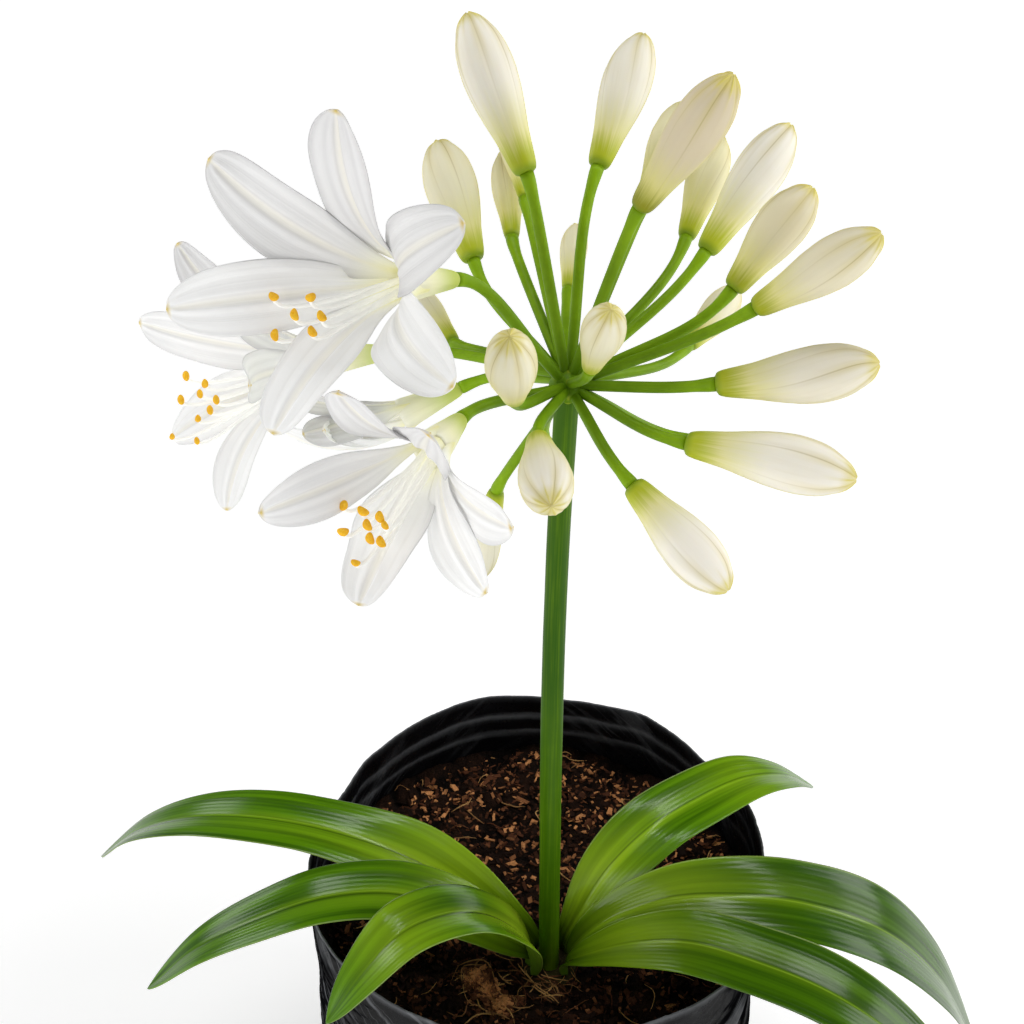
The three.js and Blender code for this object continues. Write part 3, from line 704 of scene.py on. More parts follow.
def streaks():
    """Lines that run along a blade: noise squeezed across it and drawn out along it."""
    def fill(paint, given):
        stretch = paint.add("CombineXYZ", {"X": given["Lines"], "Y": given["Run"], "Z": 1.0})
        scaled = paint.add("VectorMath", {0: given["Vector"], 1: stretch.outputs[0]},
                           operation="MULTIPLY")
        shift = paint.add("CombineXYZ", {"Z": given["Seed"]})
        moved = paint.add("VectorMath", {0: scaled.outputs[0], 1: shift.outputs[0]},
                          operation="ADD")
        return paint.noise(moved.outputs[0], scale=1.0, detail=3.0, roughness=0.55)
    return effect("streaks", {"Lines": 30.0, "Run": 2.0, "Seed": 0.0}, fill)


def mottle():
    """Soft blotches of a given size: noise with its contrast raised."""
    def fill(paint, given):
        rough = paint.noise(given["Vector"], scale=given["Scale"], detail=4.0, roughness=0.6)
        return paint.ranged(rough, 0.3, 0.7)
    return effect("mottle", {"Scale": 100.0}, fill)


def finish(name, build, **fixed):
    """A named material: build gives the Principled inputs that change over the surface."""
    material = bpy.data.materials.get(name)
    if material is None:
        material = bpy.data.materials.new(name)
        material.use_nodes = True
        tree = material.node_tree
        shader = tree.nodes["Principled BSDF"]
        for label, value in fixed.items():
            shader.inputs[label.replace("_", " ")].default_value = value
        for label, value in build(Paint(tree)).items():
            tree.links.new(value, shader.inputs[label.replace("_", " ")])
    return material


def sheen_lines(paint, place, lean, across, along, reach):
    """Long slanting lines on a round wall: 1 where noise crosses its middle value, with the
    place turned about Z by lean z radians first and the noise drawn out upwards."""
    angle = paint.times(paint.parts(place)["Z"], lean)
    leaning = paint.add("VectorRotate", {"Vector": place, "Angle": angle},
                        rotation_type="Z_AXIS")
    drawn = paint.add("Mapping", {"Vector": leaning.outputs[0],
                                  "Scale": (across, across, along)})
    level = paint.noise(drawn.outputs[0], scale=1.0, detail=1.5, roughness=0.4)
    return paint.ranged(paint.off(level, 0.5), 0.0, reach, 1.0, 0.0)


# Painted highlight streaks on the film, standing in for light glancing off its creases: noise
# across and along the wall, half width and strength.
BROAD_SHEEN_STREAKS = (48.0, 9.0, 0.05, 0.42)
THIN_SHEEN_STREAKS = (130.0, 16.0, 0.035, 0.3)
SHEEN_LEAN = 16.0


def polythene(settings):
    """Black film: faint dust, fine crinkles, and painted pale grey highlight streaks on its
    creases, which lean the other way on each side of the bag, with more painted highlight along
    the rim and on the level folds inside. It shines less where it is seen edge on."""
    def build(paint):
        place = paint.place()
        patch = paint.mottle(26.0)
        stretched = paint.add("Mapping", {"Vector": place, "Scale": (130.0, 130.0, 40.0)})
        wave = paint.noise(stretched.outputs[0], scale=1.2, detail=5.0)
        side = paint.ranged(paint.parts(place)["X"], -0.03, 0.03)
        # lines: painted highlight streaks on the outside, standing in for light glancing off
        # the creases.
        lines = 0.0
        for lean, there in ((-SHEEN_LEAN, side),
                            (SHEEN_LEAN, paint.maths("SUBTRACT", 1.0, side))):
            broad, thin = (paint.times(sheen_lines(paint, place, lean, *size), strength)
                           for *size, strength in (BROAD_SHEEN_STREAKS, THIN_SHEEN_STREAKS))
            lines = paint.plus(lines, paint.times(paint.plus(broad, thin), there))
        lines = paint.times(lines, paint.times(patch, patch))
        lines = paint.times(lines, paint.channel("outside"))
        base = paint.coats(
            settings.black,
            (paint.times(paint.mottle(60.0), 0.3), tone(26, 26, 30)),
            # Painted highlights: the streaks, and the marked rim and inner folds, all in the
            # highlight grey.
            (paint.plus(lines, paint.channel("scuff"), True), settings.highlight_grey))
        rim = paint.add("LayerWeight", {"Blend": 0.5}).outputs["Facing"]
        return {"Base_Color": base,
                "Roughness": paint.ranged(paint.mottle(420.0), 0.0, 1.0, settings.gloss,
                                          settings.gloss + 0.08),
                "Normal": paint.bumped(wave, 0.5, 0.25),
                "Specular_IOR_Level": paint.ranged(rim, 0.3, 0.8, 0.08, 0.0)}
    return finish("bag_film", build)


def potting_mix(settings):
    """Moist dark mix: crumbs from nearly black to brown, with painted shade darkening the dips
    between them.
    """
    def build(paint):
        broad, crumb, grit = (paint.mottle(scale) for scale in (70.0, 480.0, 1400.0))
        base = paint.coats(
            tone(5, 3, 2),
            (broad, settings.dark),
            (paint.times(crumb, 0.4), tone(44, 26, 17)),
            (paint.times(grit, 0.12), tone(90, 58, 38)),
            # Painted shade: the dips between crumbs darkened.
            (paint.channel("hollow"), tone(3, 2, 1)))
        normal = paint.bumped(grit, 0.35, 0.7, paint.bumped(crumb, 0.9, 0.7))
        return {"Base_Color": base, "Roughness": paint.ranged(broad, 0.0, 1.0, 0.72, 0.95),
                "Normal": normal}
    return finish("soil_mix", build, Specular_IOR_Level=0.1)


def coir(name, bright):
    """Coir: each chip or fibre has its own tint, with grain along it."""
    def build(paint):
        tint, grain = paint.channel("tint"), paint.mottle(1500.0)
        base = paint.coats(
            tone(22, 13, 9),
            (paint.ranged(tint, 0.1, 0.6), tone(104, 62, 40)),
            (paint.ranged(tint, 0.5, 0.95), bright),
            (paint.times(grain, 0.35), tone(50, 29, 18)))
        return {"Base_Color": base, "Roughness": paint.ranged(grain, 0.0, 1.0, 0.65, 0.9),
                "Normal": paint.bumped(grain, 0.2, 0.6)}
    return finish(name, build, Specular_IOR_Level=0.1)


def rhizome():
    """Fibrous crown: brown skin with blotches of olive green."""
    def build(paint):
        fine = paint.mottle(1300.0)
        base = paint.coats(
            tone(38, 25, 14),
            (paint.mottle(260.0), tone(72, 70, 30)),
            (paint.times(fine, 0.4), tone(18, 12, 8)))
        return {"Base_Color": base, "Roughness": paint.ranged(fine, 0.0, 1.0, 0.6, 0.9),
                "Normal": paint.bumped(fine, 0.3, 0.7)}
    return finish("crown_skin", build, Specular_IOR_Level=0.15)


def stem_skin(settings):
    """Smooth green skin: fresh towards the blooms, deep below, with faint long lines."""
    def build(paint):
        lines = paint.streaks(26.0, 5.0)
        base = paint.coats(
            settings.deep,
            (paint.channel("fresh"), settings.fresh),
            (paint.ranged(lines, 0.45, 0.75, 0.0, 0.25), settings.fresh),
            (paint.times(paint.mottle(190.0), 0.2), settings.deep),
            (paint.channel("scar"), tone(150, 160, 40)))
        return {"Base_Color": base, "Roughness": paint.ranged(lines, 0.3, 0.7, 0.36, 0.5),
                "Normal": paint.bumped(lines, 0.12, 0.3)}
    return finish("stem_skin", build, Specular_IOR_Level=0.12)


MIDRIB = 0.49
RIB_SHADOW = 0.53


def leaf_skin(settings):
    """Glossy strap leaf: soft bands and fine parallel lines, a light midrib with a painted
    shadow line beside it, a light edge, a yellow-green base, painted shade at the foot of the
    blade and over the right leaves, and a matt, paler underside."""
    def build(paint):
        seed = paint.channel("tint")
        fine, broad = paint.streaks(60.0, 2.0, seed), paint.streaks(8.0, 1.3, seed)
        across, along, _ = paint.parts(paint.along())
        out, beside = paint.off(across, MIDRIB), paint.off(across, RIB_SHADOW)
        open_part, under = paint.channel("open"), paint.channel("under")
        pale = paint.times(paint.channel("pale"), paint.ranged(broad, 0.3, 0.7, 0.7, 1.0))
        base = paint.coats(
            settings.deep,
            (paint.ranged(broad, 0.34, 0.66), settings.middle),
            (paint.ranged(fine, 0.5, 0.8, 0.0, 0.22), tone(112, 152, 20)),
            (paint.ranged(fine, 0.25, 0.45, 0.25, 0.0), tone(28, 58, 0)),
            (pale, settings.pale),
            # Painted shade: the right leaves darkened as a whole.
            (paint.channel("shade"), tone(30, 62, 0)),
            # Painted shadow: a dark line beside the midrib's ridge.
            (paint.times(paint.ranged(beside, 0.004, 0.022, 0.55, 0.0), open_part),
             tone(30, 58, 2)),
            (paint.times(paint.ranged(out, 0.003, 0.014, 0.5, 0.0), open_part),
             tone(150, 186, 44)),
            # Painted shade: the foot of each blade darkened, down among the other leaves.
            (paint.ranged(along, 0.0, 0.11, 0.85, 0.0), tone(34, 50, 4)),
            (paint.ranged(out, 0.478, 0.5, 0.0, 0.6), tone(150, 176, 84)),
            (paint.times(under, 0.75), tone(98, 140, 30)))
        rough = paint.ranged(fine, 0.3, 0.7, settings.gloss - 0.04, settings.gloss + 0.05)
        return {"Base_Color": base, "Roughness": paint.plus(rough, paint.times(under, 0.2)),
                "Normal": paint.bumped(fine, 0.03, 0.3)}
    return finish("leaf_skin", build, Specular_IOR_Level=0.33)


# Where the two seams of each outer tepal run, as shares of a third of the bud.
STRONG_SEAM = 0.796
WEAK_SEAM = 0.204


def seam_lines(paint, across, middle, reach):
    """1 on three lines that run along a bud, at a share of each third, and 0 beside them."""
    shifted = paint.maths("FRACT", paint.plus(across, 0.5 - middle))
    return paint.ranged(paint.off(shifted, 0.5), 0.0, reach, 1.0, 0.0)


def bud_skin(settings):
    """Waxy bud: cream, with a yellow-green foot that runs up in streaks, thin seams that meet
    in a yellow star at the tip, faint long lines, and painted yellowish shade towards its
    outline."""
    def build(paint):
        across, along, _ = paint.parts(paint.along())
        lines = paint.streaks(14.0, 1.2, paint.channel("tint"))
        warm = paint.channel("warm")
        rim = paint.add("LayerWeight", {"Blend": 0.4}).outputs["Facing"]
        low = paint.plus(along, paint.ranged(lines, 0.3, 0.7, -0.03, 0.03))
        wide = paint.maths("MAXIMUM", seam_lines(paint, across, STRONG_SEAM, 0.16),
                           seam_lines(paint, across, WEAK_SEAM, 0.16))
        thin = paint.maths("MAXIMUM", seam_lines(paint, across, STRONG_SEAM, 0.022),
                           paint.times(seam_lines(paint, across, WEAK_SEAM, 0.022), 0.45))
        body = paint.coats(
            settings.cream,
            (paint.channel("young"), settings.young),
            (warm, tone(206, 190, 156)),
            (paint.ranged(lines, 0.45, 0.8, 0.0, 0.2), tone(214, 206, 176)),
            # Painted shade: yellowish towards the outline, where the bud turns from view.
            (paint.ranged(rim, 0.4, 1.0, 0.0, 0.7), tone(216, 204, 112)),
            (paint.ranged(low, 0.08, 0.55, 0.9, 0.0), tone(222, 217, 118)),
            (paint.ranged(low, 0.05, 0.25, 1.0, 0.0),
             paint.mix(warm, settings.base, tone(134, 132, 22))),
            (paint.ranged(along, 0.0, 0.06, 0.7, 0.0), tone(110, 146, 10)),
            (paint.times(wide, paint.ranged(along, 0.5, 1.0, 0.0, 0.55)),
             tone(206, 190, 104)),
            (paint.times(thin, paint.ranged(along, 0.25, 0.9, 0.1, 0.5)),
             tone(166, 150, 80)),
            (paint.channel("tip"), settings.tip))
        return {"Base_Color": body, "Roughness": paint.ranged(lines, 0.3, 0.7, 0.4, 0.52),
                "Normal": paint.bumped(lines, 0.12, 0.35)}
    return finish("bud_skin", build, Subsurface_Weight=0.15, Subsurface_Scale=0.002,
                  Subsurface_Radius=(1.0, 0.85, 0.5), Specular_IOR_Level=0.3)


def petal_skin(settings):
    """White tepal: fine veins along it, a cream groove, painted grey shade in the grooves, at
    the edges and over the upper tepals, a yellow-green throat with a painted glow that stands
    in for light shining through, and a green tube foot."""
    def build(paint):
        throat = paint.channel("throat")
        veins = paint.streaks(44.0, 1.2, paint.channel("tint"))
        base = paint.coats(
            settings.white,
            (paint.ranged(veins, 0.3, 0.55, 0.16, 0.0), tone(214, 215, 218)),
            # Painted shade: grey in the grooves, at the edges and over the upper tepals.
            (paint.channel("fold"), tone(198, 197, 198)),
            (paint.times(paint.channel("groove"), 0.5), tone(238, 233, 214)),
            (throat, settings.throat),
            (paint.channel("foot"), settings.green),
            (paint.channel("tip"), tone(214, 190, 112)))
        # Painted glow: emission from the throat tint and the glow channel, standing in for
        # light shining through thin tepals.
        glow = paint.plus(paint.times(throat, 0.13), paint.channel("glow"))
        return {"Base_Color": base, "Roughness": paint.ranged(veins, 0.3, 0.7, 0.42, 0.55),
                "Normal": paint.bumped(veins, 0.2, 0.5), "Emission_Color": base,
                "Emission_Strength": glow}
    return finish("petal_skin", build, Subsurface_Weight=0.3, Subsurface_Scale=0.003,
                  Subsurface_Radius=(1.0, 0.98, 0.93), Specular_IOR_Level=0.3)


def pollen(settings):
    """Anther: grains of orange-yellow pollen, with a faint painted glow."""
    def build(paint):
        grains = paint.mottle(2600.0)
        base = paint.coats(
            settings.pollen,
            (grains, tone(254, 204, 70)),
            (paint.times(paint.mottle(700.0), 0.3), tone(214, 128, 10)))
        return {"Base_Color": base, "Roughness": paint.ranged(grains, 0.0, 1.0, 0.6, 0.85),
                "Emission_Color": base, "Normal": paint.bumped(grains, 0.18, 0.8)}
    # Emission gives the anthers a faint painted glow.
    return finish("pollen", build, Emission_Strength=0.12, Specular_IOR_Level=0.2)


# ------------------------------------------------------------------ bag


def round_the_mouth(bearings, column):
    """A value of the mouth's folds at any bearing: straight between folds, corners eased.

    The straight run is averaged over 5 degrees either side."""
    folds = np.vstack([MOUTH_FOLDS - [360, 0, 0], MOUTH_FOLDS, MOUTH_FOLDS + [360, 0, 0]])
    spread = np.linspace(-5, 5, 11)
    weight = bell(spread, 3.5)
    around = (np.degrees(bearings)[..., None] + spread + 180) % 360 - 180
    return np.interp(around, folds[:, 0], folds[:, column]) @ weight / weight.sum()


def bag_radius(bearings, z):
    """Radius of the bag's outside, in millimetres.

    A rounded foot, a full middle pressed out by the soil, slanting creases of
    0.7 sin(9b + z/17) + 0.5 sin(14b - z/11), and from below the soil's level up a smooth
    change to the folded mouth."""
    foot = smoothstep(z, 0, BAG_FOOT_ROUNDING)
    swell = smoothstep(z, 0, 70)
    free = smoothstep(z, SOIL_LEVEL - 25, BAG_HEIGHT)
    full = mixed(BAG_FOOT_RADIUS + 3, BAG_RADIUS + 0.5, swell)
    crease = 0.7 * np.sin(9 * bearings + z / 17) + 0.5 * np.sin(14 * bearings - z / 11)
    pressed = full + crease * swell * (1 - free)
    mouth = round_the_mouth(bearings, 1) - 0.4
    return mixed(pressed, mouth, free) - (1 - foot) * 3.5


def crumpled(bearings, z, slant, across, up, seed):
    """Creases on a round wall: (1 - |noise|)^4 of a place that turns slowly with height."""
    turn = bearings + slant * z
    spin = 80.0 / across
    value = noise(np.cos(turn) * spin, np.sin(turn) * spin, z / up, seed)
    return (1 - np.abs(value)) ** 4


def bag_creases(bearings, z):
    """Depth of the film's creases, in shares of the deepest: broad folds, long slanting
    pulls that lean away from the front and the back, a little crumpling, and two level
    folds inside the far side of the mouth."""
    lean = FILM_LEAN * np.cos(bearings)
    broad = noise(np.cos(bearings + 0.3 * lean * z) * 5, np.sin(bearings + 0.3 * lean * z) * 5,
                  z / 75, 3)
    pulls = crumpled(bearings, z, lean, 6.5, 42, 5)
    fine_pulls = crumpled(bearings, z, lean * 1.25, 3.4, 26, 7)
    crumple = crumpled(bearings, z, -0.02, 8, 11, 9)
    upper = smoothstep(z, SOIL_LEVEL - 12, SOIL_LEVEL + 12)
    far = bell((np.degrees(bearings) - 88) / 60, 1.0)
    level = level_folds(bearings, z, 1.6)
    outside = 1 - 0.7 * far * upper
    return (0.55 * broad - (0.42 * pulls + 0.16 * fine_pulls) * outside - 0.14 * crumple
            + 0.3 + 0.6 * level * far * upper)


def bag_wall(bearings, z, depth):
    """Outside of the bag with its creases, quiet at the foot."""
    quiet = smoothstep(z, 3, 22)
    edge = 1 - 0.5 * smoothstep(z, BAG_HEIGHT - 6, BAG_HEIGHT)
    return bag_radius(bearings, z) + depth * quiet * edge * (bag_creases(bearings, z) - 0.3)


def ring_at(bearings, radius, height):
    """Places round the Z axis: (r cos b, r sin b, height)."""
    return np.stack([radius * np.cos(bearings), radius * np.sin(bearings), height], axis=-1)


def level_folds(bearings, z, wide):
    """Level folds inside the mouth, each exp(-((z - height) / wide)^2), on a height that
    waves twice round the bag."""
    return sum(depth * bell(z - height - swing * np.sin(bearings * 2 + start), width * wide)
               for height, swing, start, width, depth in LEVEL_FOLDS)


class AGAPANTHUS_OT_bag(bpy.types.Operator):
    """Grow bag of creased black film, open at the mouth"""

    bl_idname = "agapanthus.bag"
    bl_label = "Grow bag"

    def execute(self, context):
        """Rings run up the outside, over the rim and down the inside to the bottom."""
        given = context.scene.agapanthus_bag
        depth, film = given.crease / MM, given.film / MM
        bearings = circle(BAG_SIDES)[None, :]
        z = np.concatenate([FOOT_RINGS, np.linspace(14, BAG_HEIGHT - 0.8, BAG_RINGS)])[:, None]
        outside = bag_wall(bearings, z, depth)
        lift = round_the_mouth(bearings, 2) * smoothstep(z, SOIL_LEVEL, BAG_HEIGHT)
        scale = given.height / MM / BAG_HEIGHT
        wide = given.radius / MM / BAG_RADIUS
        heights = np.broadcast_to(z, outside.shape) * scale + lift
        outer = ring_at(bearings, outside * wide, heights)
        top = heights[-1:] + 0.55
        rim = [ring_at(bearings, outside[-1:] * wide - film * k, top - 0.1)
               for k in (0.25, 0.75)]
        inner_z = np.maximum(heights[::-1], film)
        inner = ring_at(bearings, (outside * wide - film)[::-1], inner_z)
        floor_ring = [ring_at(bearings, np.full_like(outside[:1], 40.0), np.full_like(top, h))
                      for h in (0.0, film)]
        skin = Skin("scuff", "outside")
        rings = np.concatenate([floor_ring[0], outer, *rim, inner[:-3], floor_ring[1]])
        # Painted highlights: a light band round the top of the rim, and on the crests of the
        # level folds inside the far side, standing in for light caught there.
        rim_highlight = 0.3 * smoothstep(z, BAG_HEIGHT - 3, BAG_HEIGHT - 1) + 0 * outside
        far = bell(np.degrees(bearings) - 100, 75)
        fold_highlight = (0.3 * far * level_folds(bearings, z, 1.1) + 0.3 * rim_highlight)[::-1]
        scuff = np.concatenate([rim_highlight[:1], rim_highlight, rim_highlight[-1:], rim_highlight[-1:],
                                fold_highlight[:-3], rim_highlight[:1]])
        side = np.full(len(rings), 0.35)
        side[:len(outer) + 2] = 1
        skin.shells(rings, scuff=scuff, outside=side[:, None])
        placed(skin.piece("bag", polythene(given)), "polythene", "grow_bag")
        return {"FINISHED"}


# ------------------------------------------------------------------ soil


def soil_height(x, y):
    """Gentle lumps of the mix: 121 + 1.6 (wide + 0.45 fine), sines of the place."""
    wide = np.sin(x / 13 + 1.1) * np.cos(y / 11 - 0.4)
    fine = np.sin(x / 5.3 - y / 6.1 + 0.7) * 0.45
    return SOIL_LEVEL + SOIL_LUMP * (wide + fine)


def soil_crumbs(x, y):
    """Crumbs in shares of their height: |noise| of each width, summed."""
    total = 0.0
    for octave, wide in enumerate(CRUMB_WIDTHS):
        lump = noise(x / wide, y / wide, octave * 3.7, 21 + octave)
        total = total + np.abs(lump) * CRUMB_FALL**octave
    return total - 0.5


def soil_top(x, y, crumb):
    """Height of the crumbly surface, level where the crown comes out."""
    clear = smoothstep(np.hypot(x - PLANT[0], y - PLANT[1]), CROWN_RADIUS - 1, CROWN_RADIUS + 7)
    return mixed(SOIL_LEVEL + 0.6 * soil_crumbs(x, y),
                 soil_height(x, y) + crumb * soil_crumbs(x, y), clear)


class AGAPANTHUS_OT_soil(bpy.types.Operator):
    """Potting mix with a crumbly surface"""

    bl_idname = "agapanthus.soil"
    bl_label = "Potting mix"

    def execute(self, context):
        """Rings run up inside the bag's wall, then in over the surface to the crown."""
        given = context.scene.agapanthus_soil
        crumb = given.crumb / MM
        bag = context.scene.agapanthus_bag
        film, crease = bag.film / MM, bag.crease / MM
        bearings = circle(SOIL_SIDES)[None, :]
        z = np.array([1.6, 10, 30, 60, 90, 110, 118])[:, None]
        inside = film + SOIL_INSET + 2.2 * (1 - smoothstep(z, 110, 118))
        wall = ring_at(bearings, bag_wall(bearings, z, crease) - inside,
                       np.broadcast_to(z, (len(z), bearings.size)))
        reach = bag_wall(bearings, SOIL_LEVEL, crease) - film - SOIL_INSET
        edge_x, edge_y = reach * np.cos(bearings), reach * np.sin(bearings)
        share_in = np.linspace(1, 0.02, SOIL_RINGS)[:, None]
        x = mixed(PLANT[0], edge_x, share_in)
        y = mixed(PLANT[1], edge_y, share_in)
        heap = 1.5 * smoothstep(share_in, 0.93, 1.0)
        top = np.stack([x, y, soil_top(x, y, crumb) + heap], axis=-1)
        # Painted shade in the dips between crumbs, up to 0.9.
        low = 0.9 * (1 - smoothstep(soil_crumbs(x, y), -0.05, 0.45))
        skin = Skin("hollow")
        skin.shells(np.concatenate([wall, top]),
                    hollow=np.concatenate([np.zeros(wall.shape[:2]), low]))
        placed(skin.piece("soil_body", potting_mix(given)), "potting_mix", "soil")
        return {"FINISHED"}


def scattered(random, number, closest):
    """Places spread evenly over the soil, none nearer to the crown than given."""
    angle = random.uniform(0, TAU, number * 2)
    reach = bag_radius(angle, SOIL_LEVEL) - 2.6
    radius = reach * np.sqrt(random.uniform(0, 1, number * 2))
    x, y = radius * np.cos(angle), radius * np.sin(angle)
    free = np.hypot(x - PLANT[0], y - PLANT[1]) > closest
    return x[free][:number], y[free][:number]


def kept_inside(x, y, room):
    """Places drawn in towards the bag's middle until they clear its outside by room."""
    reach = bag_radius(np.arctan2(y, x), SOIL_LEVEL) - room
    inside = np.minimum(1, reach / np.hypot(x, y))
    return x * inside, y * inside


# A chip's corners before it is bent, as shares of its size, and its faces.
CHIP_CORNERS = np.array([(-1, -1, -1), (1, -1, -1), (1, 1, -1), (-1, 1, -1),
                         (-1, -1, 1), (1, -1, 1), (1, 1, 1), (-1, 1, 1)]) / 2
CHIP_FACES = np.array([(0, 1, 2, 3), (4, 7, 6, 5), (0, 4, 5, 1), (1, 5, 6, 2), (2, 6, 7, 3),
                       (3, 7, 4, 0)])

# Where loose fibre gathers on the mix, as x and y. Chips heap up at the first three.
TUFTS = np.array([(-17, -39), (-21, -35), (-12, -45), (1, -37), (6, -38)])
HEAPS = 3


def clumped(x, y):
    """1 on the tan heaps of coir, falling off as a bell 4 mm wide."""
    away = np.hypot(x[:, None] - TUFTS[:HEAPS, 0], y[:, None] - TUFTS[:HEAPS, 1])
    return bell(away, 4.0).max(axis=1)


class AGAPANTHUS_OT_chips(bpy.types.Operator):
    """Coir chips and fibres lying on the potting mix"""

    bl_idname = "agapanthus.chips"
    bl_label = "Coir chips and fibres"

    def execute(self, context):
        given = context.scene.agapanthus_soil
        crumb = given.crumb / MM
        random = np.random.default_rng(41)
        self.chips(given, crumb, random)
        self.fibres(given, crumb, random)
        return {"FINISHED"}

    def chips(self, given, crumb, random):
        """Each chip is a bent block, pinched at its ends: corners at +-l/2, +-w/2, +-t/2,
        each moved a little at random, then tipped, turned and set on the surface."""
        x, y = scattered(random, given.chips, 9.0)
        heap = TUFTS[random.integers(0, HEAPS, given.chips // 8)]
        heap = heap + random.normal(0, 2.4, heap.shape)
        x, y = np.concatenate([x, heap[:, 0]]), np.concatenate([y, heap[:, 1]])
        number = len(x)
        size = random.lognormal(0.0, 0.42, number) * (1 - 0.35 * clumped(x, y))
        long = np.clip(2.1 * size, 0.9, 5.0)
        wide = np.clip(long * random.uniform(0.25, 0.65, number), 0.5, 2.2)
        thick = random.uniform(0.35, 0.9, number)
        local = CHIP_CORNERS[None] * np.stack([long, wide, thick], axis=-1)[:, None]
        local = local * random.uniform(0.55, 1.15, (number, 8, 3))
        bent = random.normal(0, 0.5, number)[:, None]
        local[..., 2] += 0.25 * long[:, None] * (CHIP_CORNERS[None, :, 0] * bent)
        tip = random.normal(0, 0.4, number)[:, None]
        roll_y = local[..., 1] * np.cos(tip) - local[..., 2] * np.sin(tip)
        roll_z = local[..., 1] * np.sin(tip) + local[..., 2] * np.cos(tip)
        yaw = random.uniform(0, TAU, number)[:, None]
        px = local[..., 0] * np.cos(yaw) - roll_y * np.sin(yaw) + x[:, None]
        py = local[..., 0] * np.sin(yaw) + roll_y * np.cos(yaw) + y[:, None]
        ground = soil_top(x, y, crumb)[:, None]
        pz = roll_z + ground + random.uniform(-0.1, 0.5, number)[:, None]
        px, py = kept_inside(px, py, CHIP_ROOM)
        far = smoothstep(y, -30, 40)
        clump = clumped(x, y)
        tint = random.beta(1.1, 2.4, number) * mixed(0.8, 1.35, far) + 0.75 * clump
        pz = pz + 1.6 * clump[:, None]
        skin = Skin("tint")
        skin.plates(np.stack([px, py, pz], axis=-1), CHIP_FACES,
                    tint=np.clip(tint, 0, 1)[:, None])
        piece = skin.piece("coir_chips", coir("coir_chip", given.chip))
        piece.data.polygons.foreach_set("use_smooth", np.zeros(len(piece.data.polygons), bool))
        placed(piece, "potting_mix", "soil")

    def fibres(self, given, crumb, random):
        """Each fibre is a thin arch r(s) = start + s l d + bend sin(pi s), over the soil."""
        number = given.fibres
        x, y = scattered(random, number, 6.0)
        tuft = random.uniform(0, 1, number) < 0.3
        pick = TUFTS[random.integers(0, len(TUFTS), number)]
        x = np.where(tuft, pick[:, 0] + random.normal(0, 4.2, number), x)
        y = np.where(tuft, pick[:, 1] + random.normal(0, 3.4, number), y)
        long = np.where(tuft, random.uniform(5, 16, number), random.uniform(3, 12, number))
        yaw = random.uniform(0, TAU, number)
        bend = random.normal(0, 0.22, number) * long
        lift = random.uniform(0.2, 1.6, number)
        s = np.linspace(0, 1, 9)[None, :]
        reach = (s - 0.5) * long[:, None]
        aside = bend[:, None] * np.sin(np.pi * s)
        px = x[:, None] + reach * np.cos(yaw)[:, None] - aside * np.sin(yaw)[:, None]
        py = y[:, None] + reach * np.sin(yaw)[:, None] + aside * np.cos(yaw)[:, None]
        px, py = kept_inside(px, py, FIBRE_ROOM)
        pz = soil_top(px, py, crumb) + 0.35 + lift[:, None] * np.sin(np.pi * s)
        places = np.stack([px, py, pz], axis=-1)
        ahead = unit(np.gradient(places, axis=1))
        right = unit(np.cross(ahead, np.array([0.0, 0.0, 1.0])))
        up = np.cross(right, ahead)
        angle = circle(5)[None, None, :, None]
        thick = random.uniform(0.12, 0.3, number)[:, None] * (1 - 0.6 * np.abs(2 * s - 1) ** 3)
        thick = thick[..., None, None]
        rings = (places[:, :, None] + thick * np.cos(angle) * right[:, :, None]
                 + thick * np.sin(angle) * up[:, :, None])
        skin = Skin("tint")
        tint = random.uniform(0.45, 1.0, number)[:, None, None]
        skin.shells(rings, tint=tint)
        placed(skin.piece("coir_fibres", coir("coir_fibre", given.fibre)), "potting_mix",
               "soil")


# ------------------------------------------------------------------ crown and scape


# Outline of the crown from below: share of the way up it, radius as a share, and height
# over the soil's level.
CROWN_PROFILE = np.array([(0, 0.7, -16), (0.3, 1, -9.6), (0.6, 1, -2), (0.8, 0.97, 0.3),
                          (0.93, 0.7, CROWN_RISE - 0.2), (1, 0.35, CROWN_RISE)])


class AGAPANTHUS_OT_crown(bpy.types.Operator):
    """Short rhizome that the leaves and the scape grow from"""

    bl_idname = "agapanthus.crown"
    bl_label = "Crown"

    def execute(self, context):
        """A knobbly dome: radius and height follow a rounded profile, with noise over it."""
        turn = np.linspace(0, 1, 26)[:, None]
        angle = circle(64)[None, :]
        radius, height = (np.interp(turn, CROWN_PROFILE[:, 0], CROWN_PROFILE[:, column])
                          for column in (1, 2))
        radius = CROWN_RADIUS * radius
        knobs = noise(np.cos(angle) * 2.6, np.sin(angle) * 2.6, height / 3.0, 55)
        radius = radius * (1 + 0.07 * knobs)
        rings = (ring_at(angle, radius, SOIL_LEVEL + height + 0.25 * knobs)
                 + [PLANT[0], PLANT[1], 0])
        skin = Skin()
        skin.shells(rings)
        placed(skin.piece("crown_knob", rhizome()), "rhizome", "crown")
        return {"FINISHED"}


def bud_name(number):
    """The CAD node of a row of BUDS."""
    return f"bud_{number + 1:02d}"


def blooms():
    """Joint, facing and stalk bend of every closed bud and open flower, from the hub."""
    rows = {bud_name(number): (joint, np.subtract(tip, joint))
            for number, (joint, tip, *_) in enumerate(BUDS)}
    rows.update({name: row[:2] for name, row in FLOWERS.items()})
    return [(np.array(joint), unit(np.array(facing)), STALK_BENDS.get(name, (STALK_REACH, 0)))
            for name, (joint, facing) in rows.items()]


